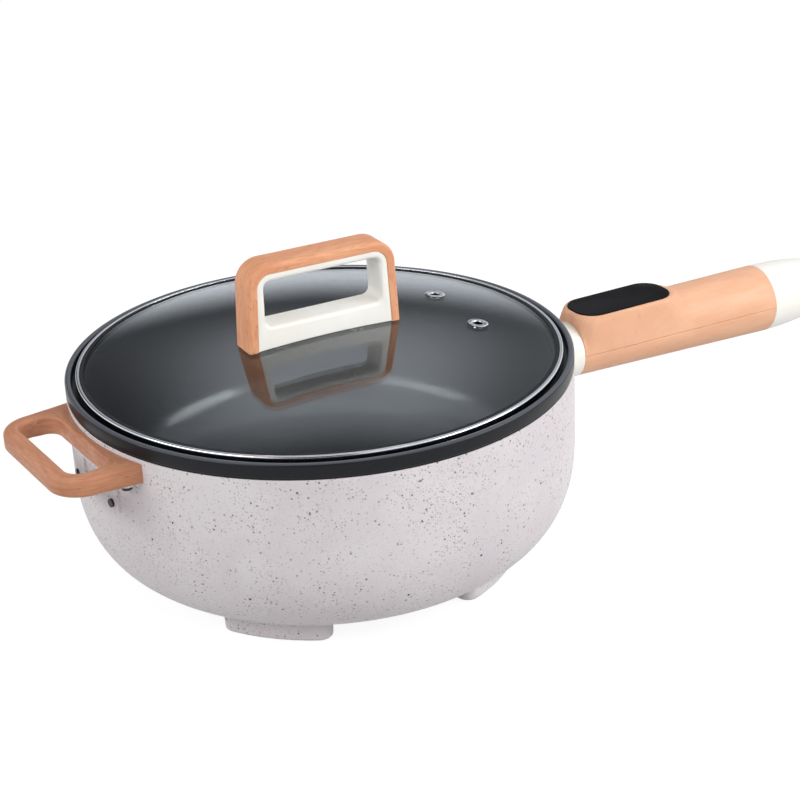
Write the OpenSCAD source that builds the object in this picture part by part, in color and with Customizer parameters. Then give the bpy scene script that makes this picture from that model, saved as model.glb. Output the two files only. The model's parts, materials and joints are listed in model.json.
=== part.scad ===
// Electric skillet: a deep round pot in a speckled shell, with a long control handle,
// a helper handle and a loose glass lid. Millimetres, +Z up, the long handle along +X.

/* [Pot] */
// Radius of the rim's outer face
rim_radius = 146; // [138:1:160]
// Height of the dark band round the rim
rim_height = 8; // [7:0.5:12]
// Width of the lip on top of the rim
lip_width = 4.8; // [4:0.2:7]
// Rounding of the lip's two edges
lip_round = 1.5; // [0.5:0.1:1.9]
// Depth of the step that carries the lid
ledge_depth = 5; // [4.5:0.1:6]
// Width of the step that carries the lid
ledge_width = 7.2; // [5:0.2:10]
// Wall and floor thickness of the pot
pot_wall = 3; // [2:0.5:4]
// Depth of the pot from its rim to its floor
pot_depth = 95; // [80:1:120]
// Inside corner radius between the pot's wall and floor
pot_corner = 36; // [24:1:45]

/* [Shell] */
// Thickness of the shell
shell_wall = 2; // [1.5:0.1:3]
// Length of the shell's upright wall, measured down from the rim's top
upright_depth = 52; // [51:1:60]
// How far the wall draws in between the upright part and the corner
draw_in = 4; // [2:0.5:6]
// Width of the shell's rounded bottom corner
corner_width = 52; // [44:1:56]
// Height of the shell's rounded bottom corner
corner_height = 33; // [28:1:38]
// Thickness of the gasket between rim and shell
gasket_height = 1; // [0.6:0.1:2]

/* [Heater] */
// Thickness of the aluminium plate under the pot
plate_height = 6; // [5:0.5:7]
// Radius of the heat plate
plate_radius = 92; // [86:1:96]
// Radius of the ring that the heating tube follows
element_ring = 75; // [68:1:78]
// Radius of the heating tube
element_radius = 4; // [3:0.5:4]
// Part of a full turn that the heating tube covers, in degrees
element_sweep = 320; // [280:5:330]
// Length of each cold pin at the heating tube's ends
terminal_length = 16; // [10:1:20]
// Radius of the circle of studs that hold the pot down
stud_circle = 52; // [48:1:56]
// Radius of a stud's threaded end
stud_radius = 2.5; // [2:0.1:3]
// Length of a stud's thick shoulder
shoulder_length = 5; // [4.5:0.1:5.2]
// Height of the spacers between the shell's floor and the heat shield
spacer_height = 3.2; // [2.6:0.1:12]
// Thickness of the steel heat shield
shield_wall = 0.8; // [0.5:0.1:1]
// Radius of the heat shield
shield_radius = 96; // [94:1:98]
// Height of the heat shield's turned-up rim
shield_rim = 2; // [1:0.1:2.4]
// Radius of the temperature sensor's cap
sensor_radius = 11; // [9:0.5:12]
// Height of the temperature sensor's cap
sensor_height = 4; // [3:0.5:5]
// Wire radius of the sensor's spring
spring_wire = 0.6; // [0.4:0.1:0.8]
// Turns of the sensor's spring
spring_turns = 4; // [3:1:5]

/* [Base] */
// Height of the feet below the shell
foot_height = 10; // [9:0.5:16]
// Outer radius of the feet
foot_outer = 112; // [106:1:116]
// Inner radius of the feet
foot_inner = 84; // [80:1:88]
// Angle that one foot covers round the pot
foot_span = 34; // [26:1:38]
// Corner rounding of a foot seen from above
foot_corner = 7; // [4:0.5:9]
// Angle of the two feet near the long handle
foot_angle_front = 56; // [45:1:65]
// Angle of the two feet near the helper handle
foot_angle_back = 133; // [120:1:140]
// Thickness of the rubber pad under each foot
pad_height = 1.2; // [0.8:0.1:2]
// How far the pad stands out of its recess in the foot
pad_proud = 0.5; // [0.3:0.1:0.8]
// Radius of the round cover under the shell
cover_radius = 70; // [66:1:74]
// Height of the round cover under the shell
cover_height = 5.5; // [5.2:0.1:6]
// Wall thickness of the round cover
cover_wall = 2; // [1.5:0.1:2]

/* [Long handle] */
// Depth of the handle's axis below the rim's top, at the shell
handle_drop = 38.8; // [36:0.1:40]
// Upward tilt of the handle in degrees
handle_tilt = 0.7; // [0:0.1:2]
// Length of the pale collar between shell and grip
collar_length = 25.5; // [22:0.5:30]
// Radius of the collar where it meets the shell
collar_root = 19; // [18:0.5:21]
// Wall thickness of the collar
collar_wall = 2.2; // [1.8:0.1:2.5]
// Length of the wood-look grip
grip_length = 146.5; // [140:0.5:165]
// Radius of the grip at the collar
grip_start = 17.5; // [16.5:0.1:18.5]
// Radius of the grip at the end cap
grip_end = 22.1; // [20.5:0.1:23]
// Rise of the grip's upper half at the collar, which runs out at the end cap
crown_rise = 1.9; // [0:0.1:3]
// Wall thickness of the grip
grip_wall = 2.5; // [2:0.1:3]
// Gap along the grip's split line
split_gap = 0.2; // [0.1:0.05:0.4]
// Length of the end cap
cap_length = 50; // [44:1:60]
// Radius of the flat end of the cap
cap_end = 13; // [12.5:0.1:16]
// Wall thickness of the end cap
cap_wall = 2.4; // [1.8:0.1:3]
// Outer radius of the steel stem inside the handle
stem_radius = 8; // [7:0.1:8.2]
// Wall thickness of the stem
stem_wall = 1.6; // [1:0.1:2]
// Length of the stem outside the shell
stem_length = 70; // [66:1:78]

/* [Control panel] */
// Length of the glossy panel
panel_length = 69; // [60:0.5:70]
// Width of the glossy panel
panel_width = 31; // [28:0.5:32]
// Corner radius of the glossy panel
panel_corner = 13; // [9:0.5:13.5]
// Thickness of the glossy panel
panel_height = 2.5; // [1.5:0.1:3]
// Gap between the collar's end and the near end of the panel
panel_gap = 2.5; // [2:0.1:6]
// Height of the panel's top above the handle's axis
panel_top = 25.1; // [23.5:0.1:26]
// Rim of wood-look plastic round the panel
pad_margin = 1.5; // [1:0.1:2]
// How far the panel stands proud of its pad
panel_proud = 0.4; // [0.2:0.1:0.8]
// Thickness of the control board
board_height = 1.6; // [1:0.1:2]

/* [Power inlet] */
// Width of the inlet's mouth
inlet_width = 17; // [15:0.5:18]
// Height of the inlet's mouth
inlet_height = 11; // [9:0.5:12]
// Depth of the inlet's mouth
inlet_depth = 18; // [16:0.5:22]
// Wall thickness of the inlet
inlet_wall = 1.4; // [1:0.1:1.6]
// Radius of a contact pin
contact_radius = 1.6; // [1.2:0.1:2]
// Distance between the two contact pins
contact_pitch = 8; // [6:0.5:9]
// Length of a contact pin inside the mouth
contact_length = 11; // [8:0.5:12]

/* [Helper handle] */
// Turn of the helper handle from straight opposite the long handle, in degrees
helper_turn = 4.5; // [0:0.5:8]
// Depth of the helper handle's top below the rim's top
helper_drop = 11; // [10:0.5:16]
// Thickness of the helper handle
helper_height = 11; // [8:0.5:14]
// Reach of the helper handle beyond the shell
helper_reach = 36; // [32:0.5:44]
// Half of the helper handle's width at its outer bar
helper_half = 48; // [42:0.2:52]
// Widening of each side of the helper handle at the shell
helper_flare = 1; // [0:0.1:4]
// Rounding of the helper handle's outer corners
helper_corner = 19.5; // [14:0.5:22]
// Width of the helper handle's outer bar
helper_bar = 9; // [6:0.5:10]
// Width of the helper handle's side bars
helper_side = 9.4; // [8:0.2:13]
// Thickness of wood between the shell and the finger gap
helper_web = 4; // [3:0.5:6]
// Rounding of the finger gap's corners
window_corner = 9; // [4:0.5:9.5]
// Thickness of the coated steel bracket under the helper handle
bracket_wall = 1.2; // [0.8:0.1:2]
// Height of the bracket's tabs on the shell
bracket_height = 24; // [20:0.5:27]
// Half of the bracket's width, as an angle round the pot
bracket_angle = 11; // [10:0.5:13]
// Gap between the bracket's two tabs, as an angle round the pot
bracket_gap = 6.6; // [4:0.2:8]

/* [Lid] */
// Radial gap between the lid's ring and the rim's lip
lid_gap = 1.4; // [0.8:0.1:2.5]
// Height at which the lid's ring floats over its step
lid_seat = 0.3; // [0.2:0.05:0.5]
// Sheet thickness of the lid's steel ring
ring_wall = 0.8; // [0.5:0.1:1]
// Width of the ring's turned-in flanges
ring_flange = 1.4; // [1:0.1:4]
// Width of the dark seal on the glass inside the ring
seal_width = 2.2; // [1.5:0.1:4]
// Thickness of the glass
glass_wall = 4; // [3:0.1:5]
// Rise of the glass from its edge to its middle
dome_rise = 13.8; // [10:0.2:20]
// Clearance between the glass and what holds it
glass_fit = 0.15; // [0.1:0.05:0.3]
// Radius of the circle of steam vents
vent_circle = 92.7; // [84:0.1:100]
// Angle of the vents either side of their middle
vent_angle = 17.2; // [12:0.1:30]
// Turn of the vents' middle from the long handle, in degrees
vent_turn = -2.2; // [-6:0.1:6]
// Radius of a vent's steel flange
vent_flange = 6.2; // [5:0.1:7]
// Radius of a vent's hole
vent_hole = 3; // [2:0.1:3.4]

/* [Lid handle] */
// Length of the lid handle where it stands on the glass
strap_length = 95.5; // [84:0.5:100]
// Width of the lid handle
strap_width = 20; // [16:0.1:24]
// Height of the lid handle's top above the rim's top
strap_top = 63; // [56:0.5:66]
// Lean of the lid handle's two ends, in degrees
strap_draft = 2.4; // [0:0.1:6]
// Thickness of the lid handle's wood strap
strap_wall = 5.6; // [3:0.1:6]
// Outer corner rounding of the lid handle
strap_corner = 14; // [11:0.5:16]
// Thickness of the pale core above and beside the finger gap
core_wall = 4.5; // [3:0.1:4.8]
// Height of the finger gap's lower edge above the rim's top
core_floor = 26; // [23:0.5:28]
// How far the core lies in from the strap's edges
core_inset = 0.4; // [0.2:0.1:1]
// Rounding of the finger gap's lower corners
core_corner = 5; // [3:0.5:7]
// Distance of each lid screw from the lid's middle
lid_screw_place = 24; // [18:0.5:30]

/* [Hidden] */
$fn = 96;

// Colours
speckled = [0.79, 0.76, 0.77];
dark_coat = [0.15, 0.15, 0.17];
wood_look = [0.86, 0.62, 0.47];
cream = [0.95, 0.94, 0.91];
steel = [0.75, 0.76, 0.78];
black = [0.08, 0.08, 0.08];
rubber_grey = [0.2, 0.2, 0.2];

// Fits shared by the whole assembly
slip = 0.1;
bore_slip = 0.15;
seat_gap = 0.05;
eps = 0.01;
// How far a cut runs past the faces that it opens
over = 1;

// Height from the shell's underside to the rim's top: the pot and all that is stacked under it
body_depth = pot_depth + pot_wall + plate_height + shoulder_length + shield_wall + spacer_height + shell_wall;

// Heights, measured from the surface the feet stand on
shell_z = foot_height;
rim_z = shell_z + body_depth;
ledge_z = rim_z - ledge_depth;
band_z = rim_z - rim_height;
shell_top = band_z - gasket_height;
floor_z = rim_z - pot_depth;
plate_top = floor_z - pot_wall;
plate_z = plate_top - plate_height;
shield_top = plate_z - shoulder_length;
shield_z = shield_top - shield_wall;
shell_floor = shell_z + shell_wall;

// Radii of the pot and its step
lip_inner = rim_radius - lip_width;
pot_inner = lip_inner - ledge_width;
pot_outer = pot_inner + pot_wall;
corner_top = shell_z + corner_height;
corner_start = rim_radius - draw_in;
shell_flat = corner_start - corner_width;

// Lid
ring_outer = lip_inner - lid_gap;
ring_z = ledge_z + lid_seat;
glass_radius = ring_outer - ring_wall - glass_fit;
glass_edge = ring_z + ring_wall + glass_fit + glass_wall;
dome_radius = (glass_radius * glass_radius + dome_rise * dome_rise) / (2 * dome_rise);
dome_center = glass_edge + dome_rise - dome_radius;
ring_opening = ring_outer - ring_wall - ring_flange;

// Long handle, along its own axis from the shell's outer face
handle_z = rim_z - handle_drop;
grip_stop = collar_length + grip_length;
cap_stop = grip_stop + cap_length;
panel_mid = collar_length + panel_gap + panel_length / 2;
pad_top = panel_top - panel_proud;
panel_floor = panel_top - panel_height;
display_height = 4.4;
display_length = 30;
display_width = 14;
board_top = panel_floor - display_height;
board_floor = board_top - board_height;
board_end_room = 5;
board_side_room = 3;
board_length = panel_length - 2 * board_end_room;
board_width = panel_width - 2 * board_side_room;
board_corner = 2;
board_ledge = 3;
well_floor = 2;
board_well = stem_radius + well_floor;
board_screw_place = (board_length - board_ledge) / 2;
board_screw_radius = 0.8;
board_screw_head = 1.4;
board_head_height = 0.8;
board_screw_reach = 3.5;
saddle_start = 6;
saddle_stop = 8;
saddle_places = [collar_length + saddle_start, stem_length - saddle_stop];
saddle_wall = 3;
grip_screw_start = 38;
grip_screw_stop = 13;
grip_screw_places = [stem_length + grip_screw_start, grip_stop - grip_screw_stop];
screw_radius = 1.4;
screw_head = 2.8;
screw_head_height = 2.2;
boss_radius = 5;
screw_seat = -12;
screw_reach = 10;
spigot_length = 8;
spigot_wall = 2;
cap_flange = 2;
inlet_floor = 2;
inlet_corner = 3;
inlet_back = cap_stop - inlet_depth - inlet_floor;
contact_tail = 5;

// Helper handle
helper_top = rim_z - helper_drop;
helper_z = helper_top - helper_height;
helper_outer = rim_radius + helper_reach;

// Reach of the part along X, which sets where the pot's axis lies
handle_end = rim_radius + cap_stop * cos(handle_tilt) + cap_end * sin(handle_tilt);
helper_end = (helper_outer - helper_corner) * cos(helper_turn)
    + (helper_half - helper_corner) * sin(helper_turn) + helper_corner;
axis_x = (helper_end - handle_end) / 2;

// Points along an arc, or an ellipse's quarter, from one angle to another
function arc(center, radius, from, to, steps = 8) =
    [for (i = [0:steps]) let (a = from + (to - from) * i / steps)
        [center[0] + radius * cos(a), center[1] + radius * sin(a)]];
function oval(center, wide, high, from, to, steps = 14) =
    [for (i = [0:steps]) let (a = from + (to - from) * i / steps)
        [center[0] + wide * cos(a), center[1] + high * sin(a)]];
function grip_radius(s) = grip_start + (grip_end - grip_start) * (s - collar_length) / grip_length;

// Height of the glass's top and bottom faces at a distance from the lid's middle
function dome_top(r) = dome_center + sqrt(dome_radius * dome_radius - r * r);
function dome_floor(r) = dome_top(r) - glass_wall;

// Outline of the shell drawn in by some distance, from its axis at the bottom up to a height
function shell_outline(inset, top) = concat(
    [[0, shell_z + inset]],
    oval([shell_flat, corner_top], corner_width - inset, corner_height - inset, -90, 0),
    [[rim_radius - inset, rim_z - upright_depth], [rim_radius - inset, top], [0, top]]);

// A closed tube swept along a list of points
function unit(v) = v / norm(v);
function along(path, i) = unit(path[min(i + 1, len(path) - 1)] - path[max(i - 1, 0)]);
function across(t) = unit(cross(t, abs(t[2]) < 0.9 ? [0, 0, 1] : [1, 0, 0]));
function tube_ring(path, i, radius, sides) =
    let (t = along(path, i), u = across(t), v = cross(t, u))
        [for (k = [0:sides - 1]) let (a = 360 * k / sides) path[i] + radius * (cos(a) * u + sin(a) * v)];

module tube(path, radius, sides) {
    rings = len(path);
    points = [for (i = [0:rings - 1]) each tube_ring(path, i, radius, sides)];
    first = [[for (k = [0:sides - 1]) sides - 1 - k]];
    last = [[for (k = [0:sides - 1]) (rings - 1) * sides + k]];
    walls = [for (i = [0:rings - 2], k = [0:sides - 1]) let (n = (k + 1) % sides) each [
        [i * sides + k, (i + 1) * sides + n, (i + 1) * sides + k],
        [i * sides + k, i * sides + n, (i + 1) * sides + n]]];
    polyhedron(points, concat(first, walls, last), convexity = 6);
}

module at_pot() {
    translate([axis_x, 0, 0]) children();
}

module at_handle() {
    at_pot() translate([rim_radius, 0, handle_z]) rotate([0, -handle_tilt, 0]) children();
}

module at_helper() {
    at_pot() rotate([0, 0, 180 + helper_turn]) children();
}

// A rod along the handle's axis
module rod(from, to, r1, r2) {
    translate([from, 0, 0]) rotate([0, 90, 0]) cylinder(h = to - from, r1 = r1, r2 = r2);
}

module ring(inner, outer, from, to) {
    translate([0, 0, from]) difference() {
        cylinder(h = to - from, r = outer);
        translate([0, 0, -over]) cylinder(h = to - from + 2 * over, r = inner);
    }
}

module rounded_rectangle(length, width, corner) {
    square([length - 2 * corner, width], center = true);
    square([length, width - 2 * corner], center = true);
    for (x = [-1, 1], y = [-1, 1])
        translate([x * (length / 2 - corner), y * (width / 2 - corner)]) circle(corner);
}

module rounded_block(length, width, corner, from, to) {
    translate([0, 0, from]) linear_extrude(to - from) rounded_rectangle(length, width, corner);
}

// Copies round the pot's axis
module round_copies(angles, radius) {
    for (a = angles) rotate([0, 0, a]) translate([radius, 0, 0]) children();
}

// Places and sizes of the fasteners
stud_angles = [60, 180, 300];
shoulder_step = 2;
stud_shoulder = stud_radius + shoulder_step;
stud_clear = 0.3;
spacer_wall = 3.5;
spacer_radius = stud_radius + spacer_wall;
nut_wall = 2.2;
nut_radius = stud_radius + nut_wall;
nut_height = 2.6;
cover_angles = [0, 120, 240];
cover_screw_inset = 6;
cover_screw_circle = cover_radius - cover_screw_inset;
cover_floor = shell_z - cover_height;
head_sink = 0.2;
foot_angles = [foot_angle_front, foot_angle_back, -foot_angle_back, -foot_angle_front];
foot_screw_circle = (foot_inner + foot_outer) / 2;
foot_screw_radius = 1.9;
foot_screw_tip = 2.5;
foot_screw_end = shell_floor + foot_screw_tip;
foot_head = 3.6;
foot_head_height = 2.4;
foot_web = 4;
foot_seat = foot_height - foot_web;
pad_inset = 3;
sensor_margin = 5;
gasket_inset = 0.6;
stem_clear = 0.3;
stem_hole = stem_radius + stem_clear;
rivet_place = 11.4;
rivet_angle = asin(rivet_place / rim_radius);
rivet_radius = 1.6;
rivet_head = 2.4;
rivet_head_height = 1.2;
flange_wall = 2.2;
flange_half = 11;
flange_angle = 6.4;
flange_inner = rim_radius - shell_wall - flange_wall;
// A hole drilled along the pot's radius through the wall takes this much length
wall_drill = 2 * (rim_radius - pot_inner);
// A rivet sits this share of the way across its tab, and this far above the tab's lower edge
helper_rivet_share = 0.7;
helper_rivet_edge = 4;
helper_rivet_angle = bracket_gap / 2 + (bracket_angle - bracket_gap / 2) * helper_rivet_share;
helper_rivet_z = helper_z - bracket_height + helper_rivet_edge;

module pot_outline() {
    corner = [pot_inner - pot_corner, floor_z + pot_corner];
    polygon(concat(
        [[0, floor_z]],
        arc(corner, pot_corner, -90, 0, 14),
        [[pot_inner, ledge_z], [lip_inner, ledge_z]],
        arc([lip_inner + lip_round, rim_z - lip_round], lip_round, 180, 90, 5),
        arc([rim_radius - lip_round, rim_z - lip_round], lip_round, 90, 0, 5),
        [[rim_radius, band_z], [pot_outer, band_z]],
        arc(corner, pot_corner + pot_wall, 0, -90, 14),
        [[0, plate_top]]));
}

module inner_pot() {
    at_pot() color(dark_coat) rotate_extrude() pot_outline();
}

module shell_body(inset, top) {
    rotate_extrude() polygon(shell_outline(inset, top));
}

// A hole through the shell's upright wall at an angle round the pot and a height
module wall_hole(angle, height, radius) {
    rotate([0, 0, angle]) translate([pot_inner, 0, height]) rotate([0, 90, 0])
        cylinder(h = wall_drill, r = radius);
}

module outer_shell() {
    at_pot() color(speckled) difference() {
        shell_body(0, shell_top);
        shell_body(shell_wall, shell_top + over);
        wall_hole(0, handle_z, stem_hole);
        for (side = [-1, 1]) {
            wall_hole(side * rivet_angle, handle_z, rivet_radius + slip);
            wall_hole(180 + helper_turn + side * helper_rivet_angle, helper_rivet_z, rivet_radius + slip);
        }
        round_copies(stud_angles, stud_circle) translate([0, 0, shell_z - over])
            cylinder(h = shell_wall + 2 * over, r = stud_radius + bore_slip);
        round_copies(cover_angles, cover_screw_circle) translate([0, 0, shell_z - over])
            cylinder(h = shell_wall + 2 * over, r = screw_radius + slip);
        round_copies(foot_angles, foot_screw_circle) translate([0, 0, shell_z - over])
            cylinder(h = corner_height, r = foot_screw_radius + slip);
    }
}

module rim_gasket() {
    at_pot() color(rubber_grey) ring(pot_outer + slip, rim_radius - gasket_inset, shell_top, band_z);
}

module heating_ring(radius) {
    rotate([0, 0, 180 - element_sweep / 2]) rotate_extrude(angle = element_sweep)
        translate([element_ring, 0]) circle(radius);
}

module heat_plate() {
    at_pot() color([0.8, 0.8, 0.82]) difference() {
        ring(sensor_radius + sensor_margin, plate_radius, plate_z, plate_top);
        translate([0, 0, plate_z]) rotate_extrude() translate([element_ring, 0])
            circle(element_radius + slip);
    }
}

module heating_element() {
    at_pot() color(steel) translate([0, 0, plate_z]) heating_ring(element_radius);
}

// Half of the heating tube's opening, and the place of one cold pin's free end
open_half = 180 - element_sweep / 2;
terminal_end = [element_ring * cos(open_half) + terminal_length * sin(open_half),
    element_ring * sin(open_half) - terminal_length * cos(open_half)];

module element_terminals() {
    at_pot() color(steel) for (side = [-1, 1]) rotate([0, 0, side * open_half])
        translate([element_ring, 0, plate_z]) rotate([90 * side, 0, 0])
            cylinder(h = terminal_length, r = element_radius / 2);
}

module heat_shield() {
    at_pot() color(steel) difference() {
        union() {
            ring(sensor_radius + sensor_margin, shield_radius, shield_z, shield_top);
            ring(shield_radius - shield_wall, shield_radius, shield_z, shield_top + shield_rim);
        }
        round_copies(stud_angles, stud_circle) translate([0, 0, shield_z - over])
            cylinder(h = shield_wall + 2 * over, r = stud_radius + bore_slip);
    }
}

module pot_studs() {
    stud_end = cover_floor + cover_wall + stud_clear;
    at_pot() color(steel) round_copies(stud_angles, stud_circle) {
        translate([0, 0, shield_top]) cylinder(h = shoulder_length, r = stud_shoulder);
        translate([0, 0, stud_end]) cylinder(h = shield_top + eps - stud_end, r = stud_radius);
    }
}

module stud_spacers() {
    at_pot() color(steel) round_copies(stud_angles, stud_circle)
        ring(stud_radius + bore_slip, spacer_radius, shell_floor, shield_z);
}

module stud_nuts() {
    at_pot() color(steel) round_copies(stud_angles, stud_circle)
        translate([0, 0, shell_z - nut_height]) difference() {
            cylinder(h = nut_height, r = nut_radius, $fn = 6);
            translate([0, 0, -over]) cylinder(h = nut_height + 2 * over, r = stud_radius + bore_slip);
        }
}

module sensor_cap() {
    at_pot() color([0.85, 0.85, 0.86])
        translate([0, 0, plate_top - sensor_height]) cylinder(h = sensor_height, r = sensor_radius);
}

// Spring under the sensor's cap and the post that guides it
guide_base = 1.5;
guide_post = 4.5;
guide_travel = 2;
spring_clear = 1;
spring_radius = guide_post + spring_wire + spring_clear;
spring_floor = shell_floor + guide_base + spring_wire;
spring_top = plate_top - sensor_height - spring_wire;

module sensor_guide() {
    at_pot() color(rubber_grey) translate([0, 0, shell_floor]) {
        cylinder(h = guide_base, r = sensor_radius);
        cylinder(h = spring_top - shell_floor - guide_travel, r = guide_post);
    }
}

module sensor_spring() {
    steps = spring_turns * 8;
    path = [for (i = [0:steps]) let (a = 360 * spring_turns * i / steps)
        [spring_radius * cos(a), spring_radius * sin(a),
            spring_floor + slip + (spring_top - spring_floor - 2 * slip) * i / steps]];
    at_pot() color(steel) tube(path, spring_wire, 6);
}

module thermal_fuse() {
    fuse_radius = 2;
    fuse_length = 12;
    lead_radius = 0.5;
    lead_length = 8;
    fuse_inset = 40;
    at_pot() color([0.9, 0.88, 0.8]) translate([element_ring - fuse_inset, 0, plate_z - fuse_radius])
        rotate([90, 0, 0]) {
            cylinder(h = fuse_length, r = fuse_radius, center = true);
            cylinder(h = fuse_length + 2 * lead_length, r = lead_radius, center = true);
        }
}

module base_cover() {
    at_pot() color(rubber_grey) difference() {
        translate([0, 0, cover_floor]) cylinder(h = cover_height, r = cover_radius);
        difference() {
            translate([0, 0, cover_floor + cover_wall])
                cylinder(h = cover_height, r = cover_radius - cover_wall);
            round_copies(cover_angles, cover_screw_circle)
                translate([0, 0, cover_floor]) cylinder(h = 2 * cover_height, r = boss_radius);
        }
        round_copies(cover_angles, cover_screw_circle) translate([0, 0, cover_floor - over]) {
            cylinder(h = cover_height + 2 * over, r = screw_radius + slip);
            cylinder(h = screw_head_height + head_sink + over, r = screw_head + slip);
        }
    }
}

// A screw along +Z whose head's top face lies at zero, with its shank going up
module screw(radius, head, head_height, length) {
    difference() {
        translate([0, 0, -head_height]) cylinder(h = head_height, r = head);
        translate([0, 0, -head_height - over]) cylinder(h = head_height / 2 + over, r = radius, $fn = 6);
    }
    translate([0, 0, -eps]) cylinder(h = length + eps, r = radius);
}

module cover_screws() {
    seat = cover_floor + screw_head_height + head_sink;
    at_pot() color(steel) round_copies(cover_angles, cover_screw_circle)
        translate([0, 0, seat]) screw(screw_radius, screw_head, screw_head_height, shell_floor - seat);
}

// Outline of one foot from above: a stretch of a ring whose four corners are rounded, drawn in by some
// distance. Each corner's circle touches a round side and a straight side.
module foot_outline(inset) {
    half = foot_span / 2;
    corner = foot_corner - inset / 2;
    outer = foot_outer - inset;
    inner = foot_inner + inset;
    outer_turn = half - asin((corner + inset) / (outer - corner));
    inner_turn = half - asin((corner + inset) / (inner + corner));
    outer_center = (outer - corner) * [cos(outer_turn), sin(outer_turn)];
    inner_center = (inner + corner) * [cos(inner_turn), sin(inner_turn)];
    polygon(concat(
        arc([0, 0], outer, -outer_turn, outer_turn),
        arc(outer_center, corner, outer_turn, half + 90),
        arc(inner_center, corner, half + 90, inner_turn + 180),
        arc([0, 0], inner, inner_turn, -inner_turn),
        arc([inner_center[0], -inner_center[1]], corner, -inner_turn - 180, -half - 90),
        arc([outer_center[0], -outer_center[1]], corner, -half - 90, -outer_turn)));
}

module feet() {
    at_pot() color(speckled) for (a = foot_angles) rotate([0, 0, a]) difference() {
        translate([0, 0, pad_proud]) linear_extrude(corner_top - pad_proud) foot_outline(0);
        shell_body(0, shell_top);
        translate([0, 0, -over]) linear_extrude(pad_height + over) foot_outline(pad_inset - slip);
        translate([foot_screw_circle, 0, 0]) {
            cylinder(h = foot_seat, r = foot_head + slip);
            cylinder(h = corner_top, r = foot_screw_radius + slip);
        }
    }
}

module foot_screws() {
    at_pot() color(steel) round_copies(foot_angles, foot_screw_circle)
        translate([0, 0, foot_seat])
            screw(foot_screw_radius, foot_head, foot_head_height, foot_screw_end - foot_seat);
}

module foot_pads() {
    at_pot() color(rubber_grey) for (a = foot_angles) rotate([0, 0, a])
        linear_extrude(pad_height) foot_outline(pad_inset);
}

module handle_bracket() {
    bore = stem_radius - stem_wall;
    color(steel) difference() {
        union() {
            at_pot() rotate([0, 0, -flange_angle]) rotate_extrude(angle = 2 * flange_angle)
                translate([flange_inner, handle_z - flange_half]) square([flange_wall, 2 * flange_half]);
            at_handle() rod(-shell_wall - flange_wall / 2, stem_length, stem_radius, stem_radius);
        }
        at_handle() rod(-2 * (shell_wall + flange_wall), stem_length + over, bore, bore);
        at_pot() for (side = [-1, 1]) wall_hole(side * rivet_angle, handle_z, rivet_radius + slip);
    }
}

// A rivet along the pot's radius, from the inner head's seat to the outer head's seat
module rivet(from, to) {
    translate([from, 0, 0]) rotate([0, 90, 0]) {
        translate([0, 0, -rivet_head_height]) cylinder(h = rivet_head_height, r = rivet_head);
        cylinder(h = to - from, r = rivet_radius);
        translate([0, 0, to - from]) cylinder(h = rivet_head_height, r = rivet_head);
    }
}

module bracket_rivets() {
    at_pot() color(steel) for (side = [-1, 1]) rotate([0, 0, side * rivet_angle])
        translate([0, 0, handle_z]) rivet(flange_inner - seat_gap, rim_radius + seat_gap);
}

// The collar's blank starts inside the shell and is cut to the shell's curve
module handle_collar() {
    sink = 4;
    color(cream) difference() {
        at_handle() rod(-sink, collar_length, collar_root, grip_start);
        at_handle() rod(-sink - over, collar_length + over, collar_root - collar_wall,
            grip_start - collar_wall);
        at_pot() shell_body(0, shell_top);
    }
}

// The upper half's outer form: a bar that widens towards its end and leans down to it, with a raised pad
// for the panel
module grip_form() {
    intersection() {
        translate([grip_stop, 0, 0]) rotate([0, atan(crown_rise / grip_length), 0])
            rod(-grip_length - over, over, grip_start, grip_end);
        rod(collar_length, grip_stop, 2 * grip_end, 2 * grip_end);
    }
    translate([panel_mid, 0, 0]) rounded_block(panel_length + 2 * pad_margin,
        panel_width + 2 * pad_margin, panel_corner + pad_margin, 0, pad_top);
}

// The space inside the grip, with the saddles for the stem and the screw bosses left standing
module grip_hollow() {
    difference() {
        rod(collar_length - over, grip_stop + over, grip_radius(collar_length - over) - grip_wall,
            grip_radius(grip_stop + over) - grip_wall);
        for (s = saddle_places) rod(s - saddle_wall / 2, s + saddle_wall / 2, grip_end, grip_end);
        for (s = grip_screw_places) translate([s, 0, -2 * grip_end])
            cylinder(h = 4 * grip_end, r = boss_radius);
    }
    rod(collar_length - over, stem_length + over, stem_radius + slip, stem_radius + slip);
}

module half_space(side) {
    size = 2 * cap_stop;
    translate([-size / 2, -size / 2, side > 0 ? split_gap / 2 : -split_gap / 2 - size])
        cube(size);
}

module grip_upper() {
    at_handle() color(wood_look) difference() {
        intersection() {
            grip_form();
            half_space(1);
        }
        grip_hollow();
        translate([panel_mid, 0, 0]) {
            rounded_block(panel_length + 2 * slip, panel_width + 2 * slip, panel_corner + slip,
                panel_floor, panel_top + over);
            rounded_block(board_length + 2 * slip, board_width + 2 * slip, board_corner,
                board_floor, panel_top);
            rounded_block(board_length - 2 * board_ledge, board_width - 2 * board_ledge, board_corner,
                board_well, panel_top);
            for (x = [-1, 1]) translate([x * board_screw_place, 0, board_floor - board_screw_reach - slip])
                cylinder(h = board_screw_reach + over, r = board_screw_radius + slip);
        }
        for (s = grip_screw_places) translate([s, 0, 0])
            cylinder(h = screw_reach + over, r = screw_radius + slip);
    }
}

module grip_lower() {
    at_handle() color(wood_look) difference() {
        intersection() {
            rod(collar_length, grip_stop, grip_start, grip_end);
            half_space(-1);
        }
        grip_hollow();
        for (s = grip_screw_places) translate([s, 0, 0]) {
            translate([0, 0, -2 * grip_end]) cylinder(h = 3 * grip_end, r = screw_radius + slip);
            translate([0, 0, -2 * grip_end])
                cylinder(h = 2 * grip_end + screw_seat, r = screw_head + slip);
        }
    }
}

module grip_screws() {
    at_handle() color(steel) for (s = grip_screw_places) translate([s, 0, screw_seat])
        screw(screw_radius, screw_head, screw_head_height, screw_reach - screw_seat);
}

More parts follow.
